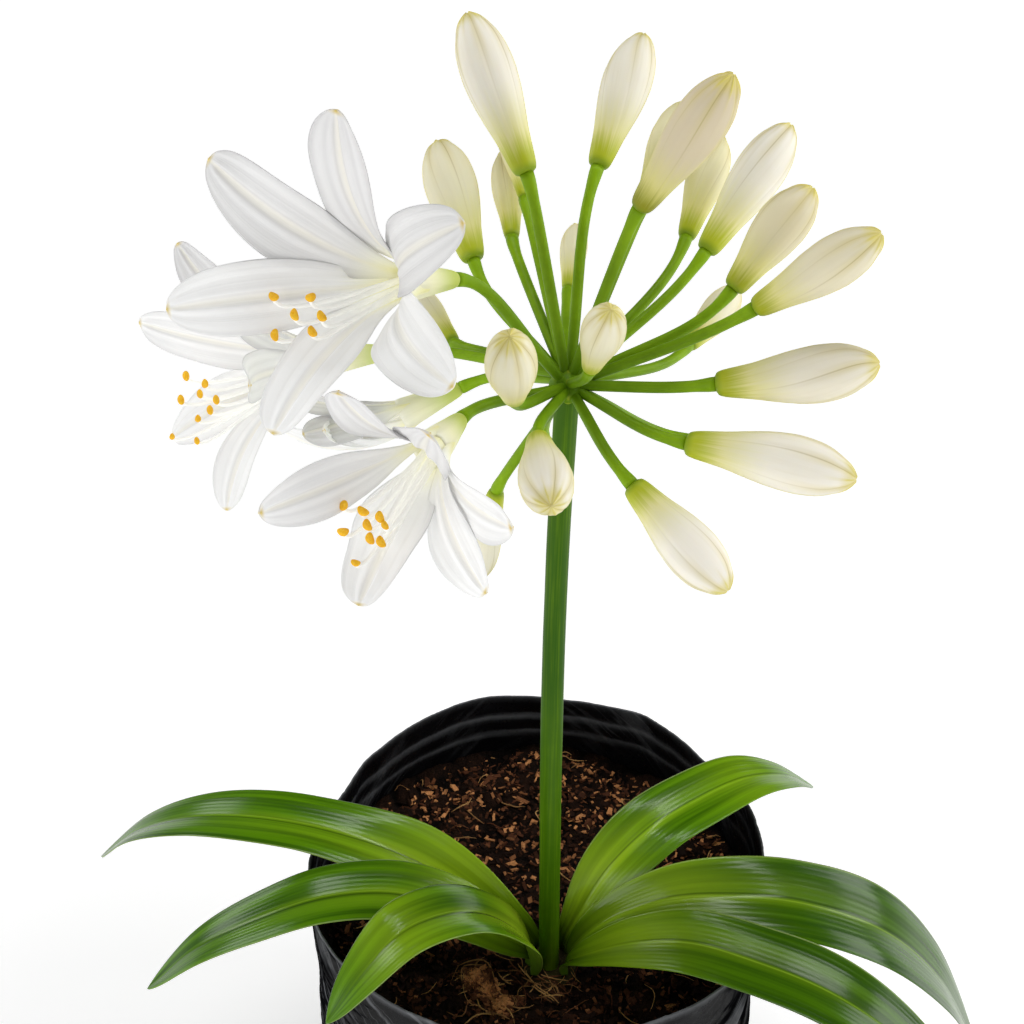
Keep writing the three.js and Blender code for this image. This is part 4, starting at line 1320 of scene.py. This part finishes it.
class AGAPANTHUS_OT_scape(bpy.types.Operator):
    """Flowering stem with the umbel's hub and all its stalks"""

    bl_idname = "agapanthus.scape"
    bl_label = "Scape and stalks"

    def execute(self, context):
        given = context.scene.agapanthus_scape
        skin = Skin("fresh", "scar")
        self.stem(skin, given)
        self.hub(skin)
        for joint, facing, bend in blooms():
            self.stalk(skin, joint, facing, *bend)
        placed(skin.piece("scape_and_stalks", stem_skin(given)), "stem", "scape")
        return {"FINISHED"}

    def stem(self, skin, given):
        """A rod along the stem's curve, radius r (1 + 0.015 cos(5a + 2s) + 0.02 noise)."""
        steps = np.linspace(0, 1, 150)
        places, ahead = path_through(SCAPE_PATH, steps)
        sides = 40
        angle = circle(sides)[None, :]
        radius = mixed(given.foot / MM, given.top / MM, steps)[:, None]
        ripple = 0.015 * np.cos(5 * angle + 2 * steps[:, None])
        waver = 0.02 * noise(np.cos(angle) * 1.2, np.sin(angle) * 1.2, steps[:, None] * 14, 12)
        rings = tube_rings(places, ahead, radius * (1 + ripple + waver),
                           np.array([0.0, 1.0, 0.0]), sides)
        fresh = 0.12 + 0.25 * bell(steps - 0.05, 0.1) + 0.12 * noise(steps * 8, 0, 0, 4)
        skin.shells(rings, fresh=np.clip(fresh, 0, 1)[:, None])

    def hub(self, skin):
        """A knobbly ball, with small bract scars on its highest knobs."""
        tilt = np.linspace(0.04, np.pi - 0.04, 40)[:, None]
        angle = circle(56)[None, :]
        knobs = noise(np.cos(angle) * np.sin(tilt) * 2.8, np.sin(angle) * np.sin(tilt) * 2.8,
                      np.cos(tilt) * 2.8, 31)
        radius = HUB_RADIUS * (0.96 + 0.1 * knobs)
        rings = np.stack([radius * np.sin(tilt) * np.cos(angle),
                          radius * np.sin(tilt) * np.sin(angle),
                          -0.85 * radius * np.cos(tilt) + 0 * angle], axis=-1) + HUB
        scar = smoothstep(knobs, 0.35, 0.6)
        skin.shells(rings, fresh=0.35, scar=scar * 0.7)

    def stalk(self, skin, joint, facing, share, lift):
        """A rod on a cubic curve that leaves the hub straight and ends along the bloom,
        swelling a little at its head."""
        reach = np.linalg.norm(joint)
        out = joint / reach
        head = joint - facing * STALK_GAP
        steps = np.linspace(0, 1, 34)
        foot = np.array([0, 0, lift])
        places, ahead = bezier(foot, foot + out * reach * 0.45,
                               head - facing * reach * share, head, steps)
        plane = unit(np.cross(out, facing) + 1e-6)
        radius = mixed(STALK_FOOT_RADIUS, STALK_RADIUS, np.minimum(1, steps * 3))
        radius = radius + smoothstep(steps, 0.86, 1) * (STALK_HEAD_RADIUS - STALK_RADIUS)
        right_front = smoothstep(joint[1], 20, -20)
        fresh = np.clip(mixed(0.8, 0.6, right_front) + 0.35 * smoothstep(steps, 0.6, 1.0)
                        - 0.3 * (1 - smoothstep(steps, 0.05, 0.3)), 0, 1)
        rings = tube_rings(places + HUB, ahead, radius[:, None], plane, 16)
        skin.shells(rings, fresh=fresh[:, None])


# ------------------------------------------------------------------ leaves


def leaf_width(t, width, opened):
    """w (1 - (1 - foot / w) (1 - min(1, t / opened))^2) (1 - ((t - 0.45) / 0.55)^2.3)^0.72."""
    opening = width - (width - LEAF_FOOT) * (1 - np.minimum(1, t / opened)) ** 2
    taper = np.clip(1 - np.maximum(0, (t - 0.45) / 0.55) ** 2.3, 0, 1) ** 0.72
    return opening * taper


def leaf_frame(root, heading, lean, arch, t):
    """The midrib's places, and the blade's side and face directions, tilted about it."""
    foot = PLANT + [ROOT_RING * np.cos(np.radians(root)), ROOT_RING * np.sin(np.radians(root)),
                    CROWN_RISE + 0.3]
    arch = np.array(arch, float)
    points = np.stack([PLANT[0] + arch[:, 0] * np.cos(np.radians(heading)),
                       PLANT[1] + arch[:, 0] * np.sin(np.radians(heading)),
                       SOIL_LEVEL + arch[:, 1]], axis=-1)
    centre, along = path_through(np.vstack([foot, foot + [0, 0, 5], points]), t)
    turn = np.radians(mixed(root, heading, np.minimum(1, t * 5)))
    side = np.stack([-np.sin(turn), np.cos(turn), 0 * turn], axis=-1)
    side = unit(side - along * np.sum(side * along, axis=-1, keepdims=True))
    settled = smoothstep(t, 0.1, 0.5)
    tilt = lean[0] * smoothstep(t, 0, 0.1) * (1 - settled) + lean[1] * settled
    side = turned(side, along, tilt)
    return centre, side, np.cross(along, side)


class AGAPANTHUS_OT_leaves(bpy.types.Operator):
    """Six strap leaves with raised veins"""

    bl_idname = "agapanthus.leaves"
    bl_label = "Leaves"

    def execute(self, context):
        given = context.scene.agapanthus_leaf
        for number, (node, values) in enumerate(LEAVES.items()):
            self.leaf(given, node, number, *values)
        return {"FINISHED"}

    def leaf(self, given, node, number, root, heading, width, opened, lean, arch):
        """Blade point = centre + u h cos(f) side + (|u| h sin(f) + veins + waves) face.

        u runs from -1 to 1 across, h is half the width, f the fold angle from 26 degrees at
        the root to 9 further out. |u| is rounded at the midrib, each vein is a raised
        (0.5 + 0.5 cos)^2 line, and the edges wave slowly along the blade."""
        t = np.linspace(0, 1, 190)
        spread = np.linspace(-1, 1, 61)
        spread = 0.85 * spread + 0.15 * np.sin(spread * np.pi / 2)
        centre, side, face = leaf_frame(root, heading, lean, arch, t)
        half = np.maximum(leaf_width(t, width, opened) / 2, 0.8 * (1 - t) + 0.15)[:, None]
        fold = np.radians(mixed(26, 9, smoothstep(t, 0, 0.4)))[:, None]
        u = spread[None, :]
        keel = np.sqrt(u * u + 0.004) - 0.063
        edge_fall = -0.035 * half * smoothstep(np.abs(u), 0.55, 1.0)
        body = smoothstep(t, 0.02, 0.2)[:, None] * (1 - smoothstep(t, 0.93, 1.0))[:, None]
        rib = (0.5 + 0.5 * np.cos(np.pi * u * given.veins)) ** 2
        relief = given.relief / MM * body * (rib - 0.8 * bell(u, 0.05))
        shade = noise(t[:, None] * 7, u * 1.4, 0, 60 + number)
        wave = 0.22 * body * shade + 0.3 * body * u * np.sin(9 * t[:, None] + number)
        raised = keel * half * np.sin(fold) + edge_fall + relief + wave
        thick = mixed(1.5, 1.0, np.minimum(1, t * 2))[:, None] * (1 - 0.35 * np.abs(u))
        place = (centre[:, None] + (u * half * np.cos(fold))[..., None] * side[:, None]
                 + (raised - thick / 2)[..., None] * face[:, None])
        rings = blade_rings(place, face[:, None], thick, u)
        pale = (0.8 * bell(t - 0.19, 0.14)[:, None] + 0.4 * bell(u + 0.04, 0.13)
                * bell(t[:, None] - 0.25, 0.4)
                + 0.28 * bell(u - 0.3, 0.25) * bell(t[:, None] - 0.3, 0.3))
        pale = pale + PALE_TIPS.get(node, 0.0) * bell(t - 0.72, 0.13)[:, None]
        pale = blade_around(np.clip(pale, 0, 1))
        columns = len(spread)
        under = np.zeros(rings.shape[:2])
        under[:, columns:] = 1
        opened = smoothstep(t, 0.08, 0.3) * (1 - smoothstep(t, 0.55, 0.95))
        skin = Skin("pale", "under", "open", "shade", "tint")
        skin.shells(rings, blade_uv(u, t), pale=pale, under=under, open=opened[:, None],
                    shade=SHADED_LEAVES.get(node, 0.0), tint=number * 7.3)
        placed(skin.piece(node.replace("leaf", "strap_leaf"), leaf_skin(given)), "leaf", node)


# ------------------------------------------------------------------ buds

BUD_PROFILE = np.array([
    (0, 0.28), (0.015, 0.4), (0.05, 0.47), (0.1, 0.52), (0.16, 0.57), (0.25, 0.655),
    (0.36, 0.79), (0.5, 0.935), (0.64, 1.0), (0.75, 0.95), (0.82, 0.86), (0.9, 0.655),
    (0.95, 0.46), (0.98, 0.28), (1.0, 0.1),
])


def eased(samples, table):
    """Values of a table of pairs, drawn as a smooth centripetal curve through them."""
    points = np.column_stack([table, np.zeros(len(table))])
    places, _ = path_through(points, np.linspace(0, 1, 400))
    return np.interp(samples, places[:, 0], places[:, 1])


class AGAPANTHUS_OT_buds(bpy.types.Operator):
    """Closed buds, ribbed and pointed"""

    bl_idname = "agapanthus.buds"
    bl_label = "Closed buds"

    def execute(self, context):
        given = context.scene.agapanthus_bud
        random = np.random.default_rng(17)
        for number, (joint, tip, girth, young) in enumerate(BUDS):
            roll = random.uniform(-0.5, 0.5)
            twist = random.normal(0, 0.12)
            sway = random.normal(0, 0.35)
            self.bud(given, number, joint, tip, girth, young, roll, twist, sway)
        return {"FINISHED"}

    def bud(self, given, number, joint, tip, girth, young, roll, twist, sway):
        """Radius = girth/2 * profile(s) * (1 - rib * (lobes + grooves)).

        The lobes are three wide outer tepals and three narrow inner ones between them,
        parted by six grooves. They turn slowly along the bud, and the ribs stand out most
        at the tip, where they end in small knobs."""
        start, end = np.array(joint) + HUB, np.array(tip) + HUB
        axis = end - start
        long = np.linalg.norm(axis)
        s = np.concatenate([np.linspace(0, 0.12, 10, endpoint=False),
                            np.linspace(0.12, 0.86, 34, endpoint=False),
                            np.linspace(0.86, 1, 18)])[:, None]
        angle = circle(72)[None, :]
        turn = angle + roll + twist * 4 * s
        lobes = 0.5 - 0.5 * np.cos(3 * turn)
        place = (turn % (TAU / 3)) - TAU / 6
        groove = bell(np.abs(place) - 0.62, 0.085)
        middle = bell(place, 0.07)
        crest = bell(np.abs(place) - TAU / 6, 0.1)
        swell = smoothstep(s, 0.08, 0.4)
        peak = smoothstep(s, 0.86, 0.97)
        depth = given.rib * (0.45 * swell + 1.6 * peak)
        radius = girth / 2 * eased(s, BUD_PROFILE)
        radius = radius * (1 - depth * (0.35 * lobes + 0.75 * groove - 0.25 * middle
                                        - 0.3 * crest) + 0.03 * peak)
        knob = 0.35 * peak * (middle + crest)
        rings = round_axis(start, axis / long, s * long + knob, radius, angle,
                           sway * np.sin(np.pi * s))
        skin = Skin("young", "warm", "tip", "tint")
        yellow_tip = smoothstep(s, 0.9, 0.985) * (0.6 + 0.4 * (middle + crest))
        yellow_tip = yellow_tip + 0.35 * smoothstep(s, 0.8, 0.95) * (middle + crest)
        round_once = np.linspace(0, TAU, angle.size + 1)[None, :] + roll + twist * 4 * s
        uv = np.stack(np.broadcast_arrays(3 * round_once / TAU, s), axis=-1)
        node = bud_name(number)
        skin.shells(rings, uv, young=young, warm=WARM_BUDS.get(node, 0),
                    tip=np.clip(yellow_tip, 0, 0.85), tint=number * 3.1)
        placed(skin.piece("closed_" + node, bud_skin(given)), "bud", node)


# ------------------------------------------------------------------ flowers


# fold carries painted grey shade on the tepals, and glow a painted glow.
PETAL_CHANNELS = ("groove", "fold", "throat", "foot", "tip", "glow", "tint")

# Outline of the tube, out over its lip and back down inside: way along it, and radius.
TUBE_PROFILE = np.array([
    (0, 1.6), (0.6, 2.0), (3, 2.5), (6, 2.95), (10, 3.6), (15, 4.3), (18, 4.6), (18.6, 4.35),
    (18, 3.9), (15, 3.3), (9, 2.2), (7, 0.8),
])
# Degrees by which every tepal leaves the flower's axis, and by how much the three outer and
# the three inner ones stand apart.
TEPAL_LEAVE = 12
WHORL_GAP = 0.5


def tepal_width(t):
    """(0.2 + 0.8 sin(pi/2 min(1, t/0.6))^1.5) sqrt(1 - ((t - 0.6) / 0.4)^2.4)."""
    opening = 0.2 + 0.8 * np.sin(np.pi / 2 * np.minimum(1, t / 0.6)) ** 1.5
    taper = np.sqrt(np.clip(1 - np.maximum(0, (t - 0.6) / 0.4) ** 2.4, 0, 1))
    return opening * taper


class AGAPANTHUS_OT_flowers(bpy.types.Operator):
    """Open flowers: tube and tepals, filaments and anthers"""

    bl_idname = "agapanthus.flowers"
    bl_label = "Open flowers"

    def execute(self, context):
        given = context.scene.agapanthus_flower
        for number, (node, (joint, facing, tepals, anthers)) in enumerate(FLOWERS.items()):
            start, ahead = np.array(joint) + HUB, unit(np.array(facing))
            petals = Skin(*PETAL_CHANNELS)
            self.tube(petals, start, ahead)
            for i, values in enumerate(tepals):
                self.tepal(petals, given, start, ahead, values, i, number * 6 + i)
            name = node.replace("flower", "bloom")
            placed(petals.piece(name + "_tepals", petal_skin(given)), "petal", node)
            threads = Skin(*PETAL_CHANNELS)
            grains = Skin()
            for i, values in enumerate(anthers):
                self.stamen(threads, grains, start, ahead, values, i / len(anthers))
            placed(threads.piece(name + "_filaments", petal_skin(given)), "petal", node)
            placed(grains.piece(name + "_anthers", pollen(given)), None, node)
        return {"FINISHED"}

    def tube(self, skin, start, ahead):
        """A slim trumpet with six soft ribs, turned in at its throat."""
        table = np.column_stack([TUBE_PROFILE, np.zeros(len(TUBE_PROFILE))])
        places, _ = path_through(table, np.linspace(0, 1, 46))
        out, radius = places[:, 0][:, None], places[:, 1][:, None]
        angle = circle(60)[None, :]
        radius = radius * (1 - 0.05 * smoothstep(out, 1, 8) * (0.5 - 0.5 * np.cos(6 * angle)))
        # The throat value tints the tube and also drives its painted glow.
        skin.shells(round_axis(start, ahead, out, radius, angle),
                    foot=0.9 * (1 - smoothstep(out, 1, 14)),
                    throat=0.3 + 0.35 * (1 - smoothstep(out, 12, 22)))

    def tepal(self, skin, given, start, ahead, values, place, seed):
        """The midrib bends evenly from 12 degrees off the axis to its curl at the tip; the
        blade is dished, 0.34 h (1 - 0.75 s) u^2, with a groove along its middle, raised
        veins beside it and a slow ruffle at its edges."""
        turn, curl, long, width, *twist = values
        twist = np.radians(twist[0] if twist else 0)
        throat = start + ahead * TUBE_LENGTH
        up, side = square_to(ahead)
        angle = np.radians(turn)
        out = up * np.cos(angle) + side * np.sin(angle)
        aside = np.cross(ahead, out)
        whorl = WHORL_GAP if place % 2 else -WHORL_GAP
        s = np.concatenate([np.linspace(-0.05, 0.9, 46, endpoint=False),
                            np.linspace(0.9, 0.999, 16)])
        leave, bend = np.radians(TEPAL_LEAVE), np.radians(curl - TEPAL_LEAVE)
        slope = leave + bend * s
        reach_ahead = long / bend * (np.sin(slope) - np.sin(leave))
        reach_out = long / bend * (np.cos(leave) - np.cos(slope))
        centre = (throat + reach_ahead[:, None] * ahead
                  + (THROAT_RADIUS - 1.2 + whorl + reach_out)[:, None] * out)
        inward = np.sin(slope)[:, None] * ahead - np.cos(slope)[:, None] * out
        t = np.maximum(0, s)
        wound = (twist * smoothstep(t, 0.15, 0.7))[:, None]
        across = aside * np.cos(wound) - inward * np.sin(wound)
        inward = inward * np.cos(wound) + aside * np.sin(wound)
        half = np.maximum(width * tepal_width(t) / 2, 0.12)[:, None]
        spread = np.linspace(-1, 1, 33)[None, :]
        spread = 0.8 * spread + 0.2 * np.sin(spread * np.pi / 2)
        dish = 0.34 * half * (1 - 0.75 * t)[:, None] * spread**2
        open_part = smoothstep(t, 0.15, 0.5)[:, None] * (1 - smoothstep(t, 0.93, 1.0))[:, None]
        ruffle = given.ruffle / MM * open_part * np.abs(spread) ** 2.5 * np.sin(
            11 * t[:, None] + 2.4 * seed + np.where(spread > 0, 1.7, 0))
        beside = bell(np.abs(spread) - 0.24, 0.1)
        outer = bell(np.abs(spread) - 0.5, 0.09)
        groove = open_part * (-0.5 * bell(spread, 0.1) + 0.22 * beside - 0.14 * outer)
        veins = 0.05 * open_part * np.cos(spread * 26)
        middle = (centre[:, None] + (spread * half)[..., None] * across[:, None]
                  + (dish + ruffle + groove + veins
                     - TEPAL_THICKNESS / 2)[..., None] * inward[:, None])
        thick = TEPAL_THICKNESS * (0.87 + 0.35 * bell(spread, 0.2) - 0.25 * np.abs(spread))
        thick = thick * (1 + 0.25 * smoothstep(t, 0.95, 0.99))[:, None]
        rings = blade_rings(middle, inward[:, None], thick, np.broadcast_to(
            spread, (len(s), spread.shape[1])))
        line = bell(spread, 0.12) * smoothstep(t, 0.02, 0.3)[:, None]
        # Painted shade: the upper tepals greyer, as if turned from the light, and grey in the
        # grooves beside the middle and at the edges.
        shade = 0.65 * smoothstep(out[2], -0.1, 0.7) * smoothstep(t, 0, 0.3)[:, None]
        fold = shade + open_part * (0.3 * bell(np.abs(spread) - 0.13, 0.05) + 0.2 * outer)
        fold = fold + 0.4 * smoothstep(np.abs(spread), 0.7, 1.0)
        greenish = (1 - smoothstep(s, -0.05, 0.32))[:, None] * (0.65 + 0.35 * bell(spread, 0.5))
        tip = smoothstep(t, 0.975, 0.995)[:, None] * bell(spread, 0.7)
        # glow: a painted glow, a little stronger on the lower tepals.
        skin.shells(rings, blade_uv(spread, s), groove=blade_around(line),
                    fold=blade_around(fold), throat=blade_around(greenish),
                    tip=blade_around(tip), glow=0.05 + 0.05 * smoothstep(-out[2], -0.3, 0.3),
                    tint=seed * 2.7)

    def stamen(self, threads, grains, start, ahead, values, around):
        """A filament on a cubic curve that lifts at its end, and a bean of an anther."""
        rise, aside, reach, size = values
        up, side = square_to(ahead)

        def at(x, y, z):
            return start + ahead * x + up * y + side * z

        angle = TAU * around
        root = at(TUBE_LENGTH - 3, 1.6 * np.cos(angle), 1.6 * np.sin(angle))
        end = at(reach, rise, aside)
        steps = np.linspace(0, 1, 30)
        places, along = bezier(root, at(TUBE_LENGTH + 10, 1.8 * np.cos(angle) - 2,
                                        1.8 * np.sin(angle)),
                               at(reach - 1, rise - 6.5, aside), end, steps)
        radius = mixed(0.72, 0.42, steps)[:, None]
        # Filaments carry a painted glow and, near their roots, the throat tint that also glows.
        threads.shells(tube_rings(places, along, radius, side, 10), glow=0.2,
                       throat=(0.1 + 0.4 * (1 - smoothstep(steps, 0, 0.35)))[:, None])
        tilt = np.linspace(0.05, np.pi - 0.05, 14)[:, None]
        turn = circle(16)[None, :]
        ball = np.stack([-np.cos(tilt) + 0 * turn, np.sin(tilt) * np.cos(turn),
                         np.sin(tilt) * np.sin(turn)], axis=-1)
        ball = ball * np.array([1.4, 0.95, 0.95]) * (0.5 + 0.5 * size)
        ball[..., 2] += 0.3 * ball[..., 0] ** 2 / 1.55
        ball[..., 1] *= 1 - 0.25 * bell(ball[..., 2] - 0.8, 0.5)
        swing = 1.3 * np.sin(7.1 * around + 11 * rise)
        one = unit(np.cos(swing) * side + np.sin(swing) * up)
        two = unit(np.cross(one, ahead))
        bean = (end + ball[..., :1] * one + ball[..., 1:2] * ahead + ball[..., 2:] * two)
        grains.shells(bean)


# ------------------------------------------------------------------ stage


# Metres and degrees. Lights: place, width, depth, and power as a share of the key's.
FLOOR_REACH = 6.0
LIGHTS = {
    "key": ((1.2, -0.2, 0.9), 0.7, 0.7, 1.0),
    "fill": ((-0.8, -1.05, 0.6), 0.9, 0.9, 0.8),
    "top_box": ((0.05, 0.25, 1.35), 1.3, 0.22, 0.85),
    "left_box": ((-0.9, 0.45, 0.65), 0.5, 0.3, 0.25),
    "right_box": ((1.0, 0.5, 0.6), 0.5, 0.4, 0.3),
}
LIGHTS_AIM = (0.0, -0.02, 0.25)
CAMERA_PLACE = (-0.0085, -0.349, 0.530)
CAMERA_DIP = 34.2
CAMERA_SENSOR = 36.0


class AGAPANTHUS_OT_stage(bpy.types.Operator):
    """Pale floor, soft light and the camera"""

    bl_idname = "agapanthus.stage"
    bl_label = "Stage"

    def execute(self, context):
        given = context.scene.agapanthus_stage
        self.floor(given)
        self.lights(context.scene, given)
        self.camera(context.scene, given)
        context.scene.view_settings.view_transform = "Standard"
        context.scene.view_settings.look = "None"
        return {"FINISHED"}

    def floor(self, given):
        """A wide level sheet just under the bag."""
        mesh = bpy.data.meshes.new("floor")
        far = FLOOR_REACH
        mesh.from_pydata([(-far, -far, 0), (far, -far, 0), (far, far, 0), (-far, far, 0)], [],
                         [(0, 1, 2, 3)])

        def build(paint):
            away = paint.add("VectorMath", {0: paint.place()},
                             operation="LENGTH").outputs["Value"]
            return {"Base_Color": paint.mix(paint.times(paint.mottle(3.0), 0.05), given.floor,
                                            tone(244, 244, 244)),
                    "Emission_Strength": paint.ranged(away, 0.3, 1.7, 0.35, 0.85)}

        mesh.materials.append(finish("floor_paper", build, Roughness=0.9,
                                     Emission_Color=(1, 1, 1, 1)))
        floor = bpy.data.objects.new("floor", mesh)
        bpy.context.scene.collection.objects.link(floor)

    def lights(self, scene, given):
        """White light from all round, dimmer overhead and behind, a soft key from the right,
        a fill, and three small boxes above and behind that shine on the leaves."""
        world = bpy.data.worlds.new("studio")
        world.use_nodes = True
        tree = world.node_tree
        paint = Paint(tree)
        way = paint.parts(paint.add("TexCoord").outputs["Generated"])
        up = paint.ranged(way["Z"], 0.1, 0.75, 1.0, given.zenith)
        back = paint.ranged(way["Y"], -0.1, 0.6, 1.0, 0.25)
        horizon = paint.ranged(way["Z"], 0.04, 0.14, 1.2, 0.0)
        shade = paint.plus(paint.times(up, back), horizon)
        tree.links.new(shade, tree.nodes["Background"].inputs["Color"])
        tree.nodes["Background"].inputs["Strength"].default_value = given.dome
        scene.world = world
        for name, (place, wide, deep, power) in LIGHTS.items():
            light = bpy.data.lights.new(name, "AREA")
            light.shape = "RECTANGLE"
            light.size, light.size_y = wide, deep
            light.energy = given.key * power
            lamp = bpy.data.objects.new(name, light)
            lamp.location = place
            aim = Vector(np.subtract(LIGHTS_AIM, place))
            lamp.rotation_euler = aim.to_track_quat("-Z", "Y").to_euler()
            scene.collection.objects.link(lamp)

    def camera(self, scene, given):
        """The camera stands in front, above the umbel, and looks down on it."""
        data = bpy.data.cameras.new("camera")
        data.lens = given.lens
        data.sensor_width = CAMERA_SENSOR
        camera = bpy.data.objects.new("camera", data)
        camera.location = CAMERA_PLACE
        camera.rotation_euler = (np.radians(90 - CAMERA_DIP), 0, 0)
        scene.collection.objects.link(camera)
        scene.camera = camera


# ------------------------------------------------------------------ panel and start

SETTINGS = {
    "agapanthus_bag": AgapanthusBag, "agapanthus_soil": AgapanthusSoil,
    "agapanthus_scape": AgapanthusScape, "agapanthus_leaf": AgapanthusLeaf,
    "agapanthus_bud": AgapanthusBud, "agapanthus_flower": AgapanthusFlower,
    "agapanthus_stage": AgapanthusStage,
}
OPERATORS = (
    AGAPANTHUS_OT_bag, AGAPANTHUS_OT_soil, AGAPANTHUS_OT_chips, AGAPANTHUS_OT_crown,
    AGAPANTHUS_OT_scape, AGAPANTHUS_OT_leaves, AGAPANTHUS_OT_buds, AGAPANTHUS_OT_flowers,
    AGAPANTHUS_OT_stage,
)


class AGAPANTHUS_PT_panel(bpy.types.Panel):
    """Sizes and colours of the plant, and a button for each piece"""

    bl_label = "Agapanthus"
    bl_idname = "AGAPANTHUS_PT_panel"
    bl_space_type = "VIEW_3D"
    bl_region_type = "UI"
    bl_category = "Agapanthus"

    def draw(self, context):
        for label, group in SETTINGS.items():
            box = self.layout.box()
            box.label(text=group.__doc__.strip("."))
            for name in group.__annotations__:
                box.prop(getattr(context.scene, label), name)
        for operator in OPERATORS:
            self.layout.operator(operator.bl_idname)


def register():
    """Registers the settings, the operators and the panel."""
    for group in (*SETTINGS.values(), *OPERATORS, AGAPANTHUS_PT_panel):
        bpy.utils.register_class(group)
    for label, group in SETTINGS.items():
        setattr(bpy.types.Scene, label, bpy.props.PointerProperty(type=group))


def unregister():
    """Takes them off again."""
    for label in SETTINGS:
        delattr(bpy.types.Scene, label)
    for group in (AGAPANTHUS_PT_panel, *OPERATORS, *SETTINGS.values()):
        bpy.utils.unregister_class(group)


def main():
    """Builds every piece in order."""
    register()
    for operator in OPERATORS:
        getattr(bpy.ops.agapanthus, operator.bl_idname.split(".")[1])()


if __name__ == "__main__":
    main()
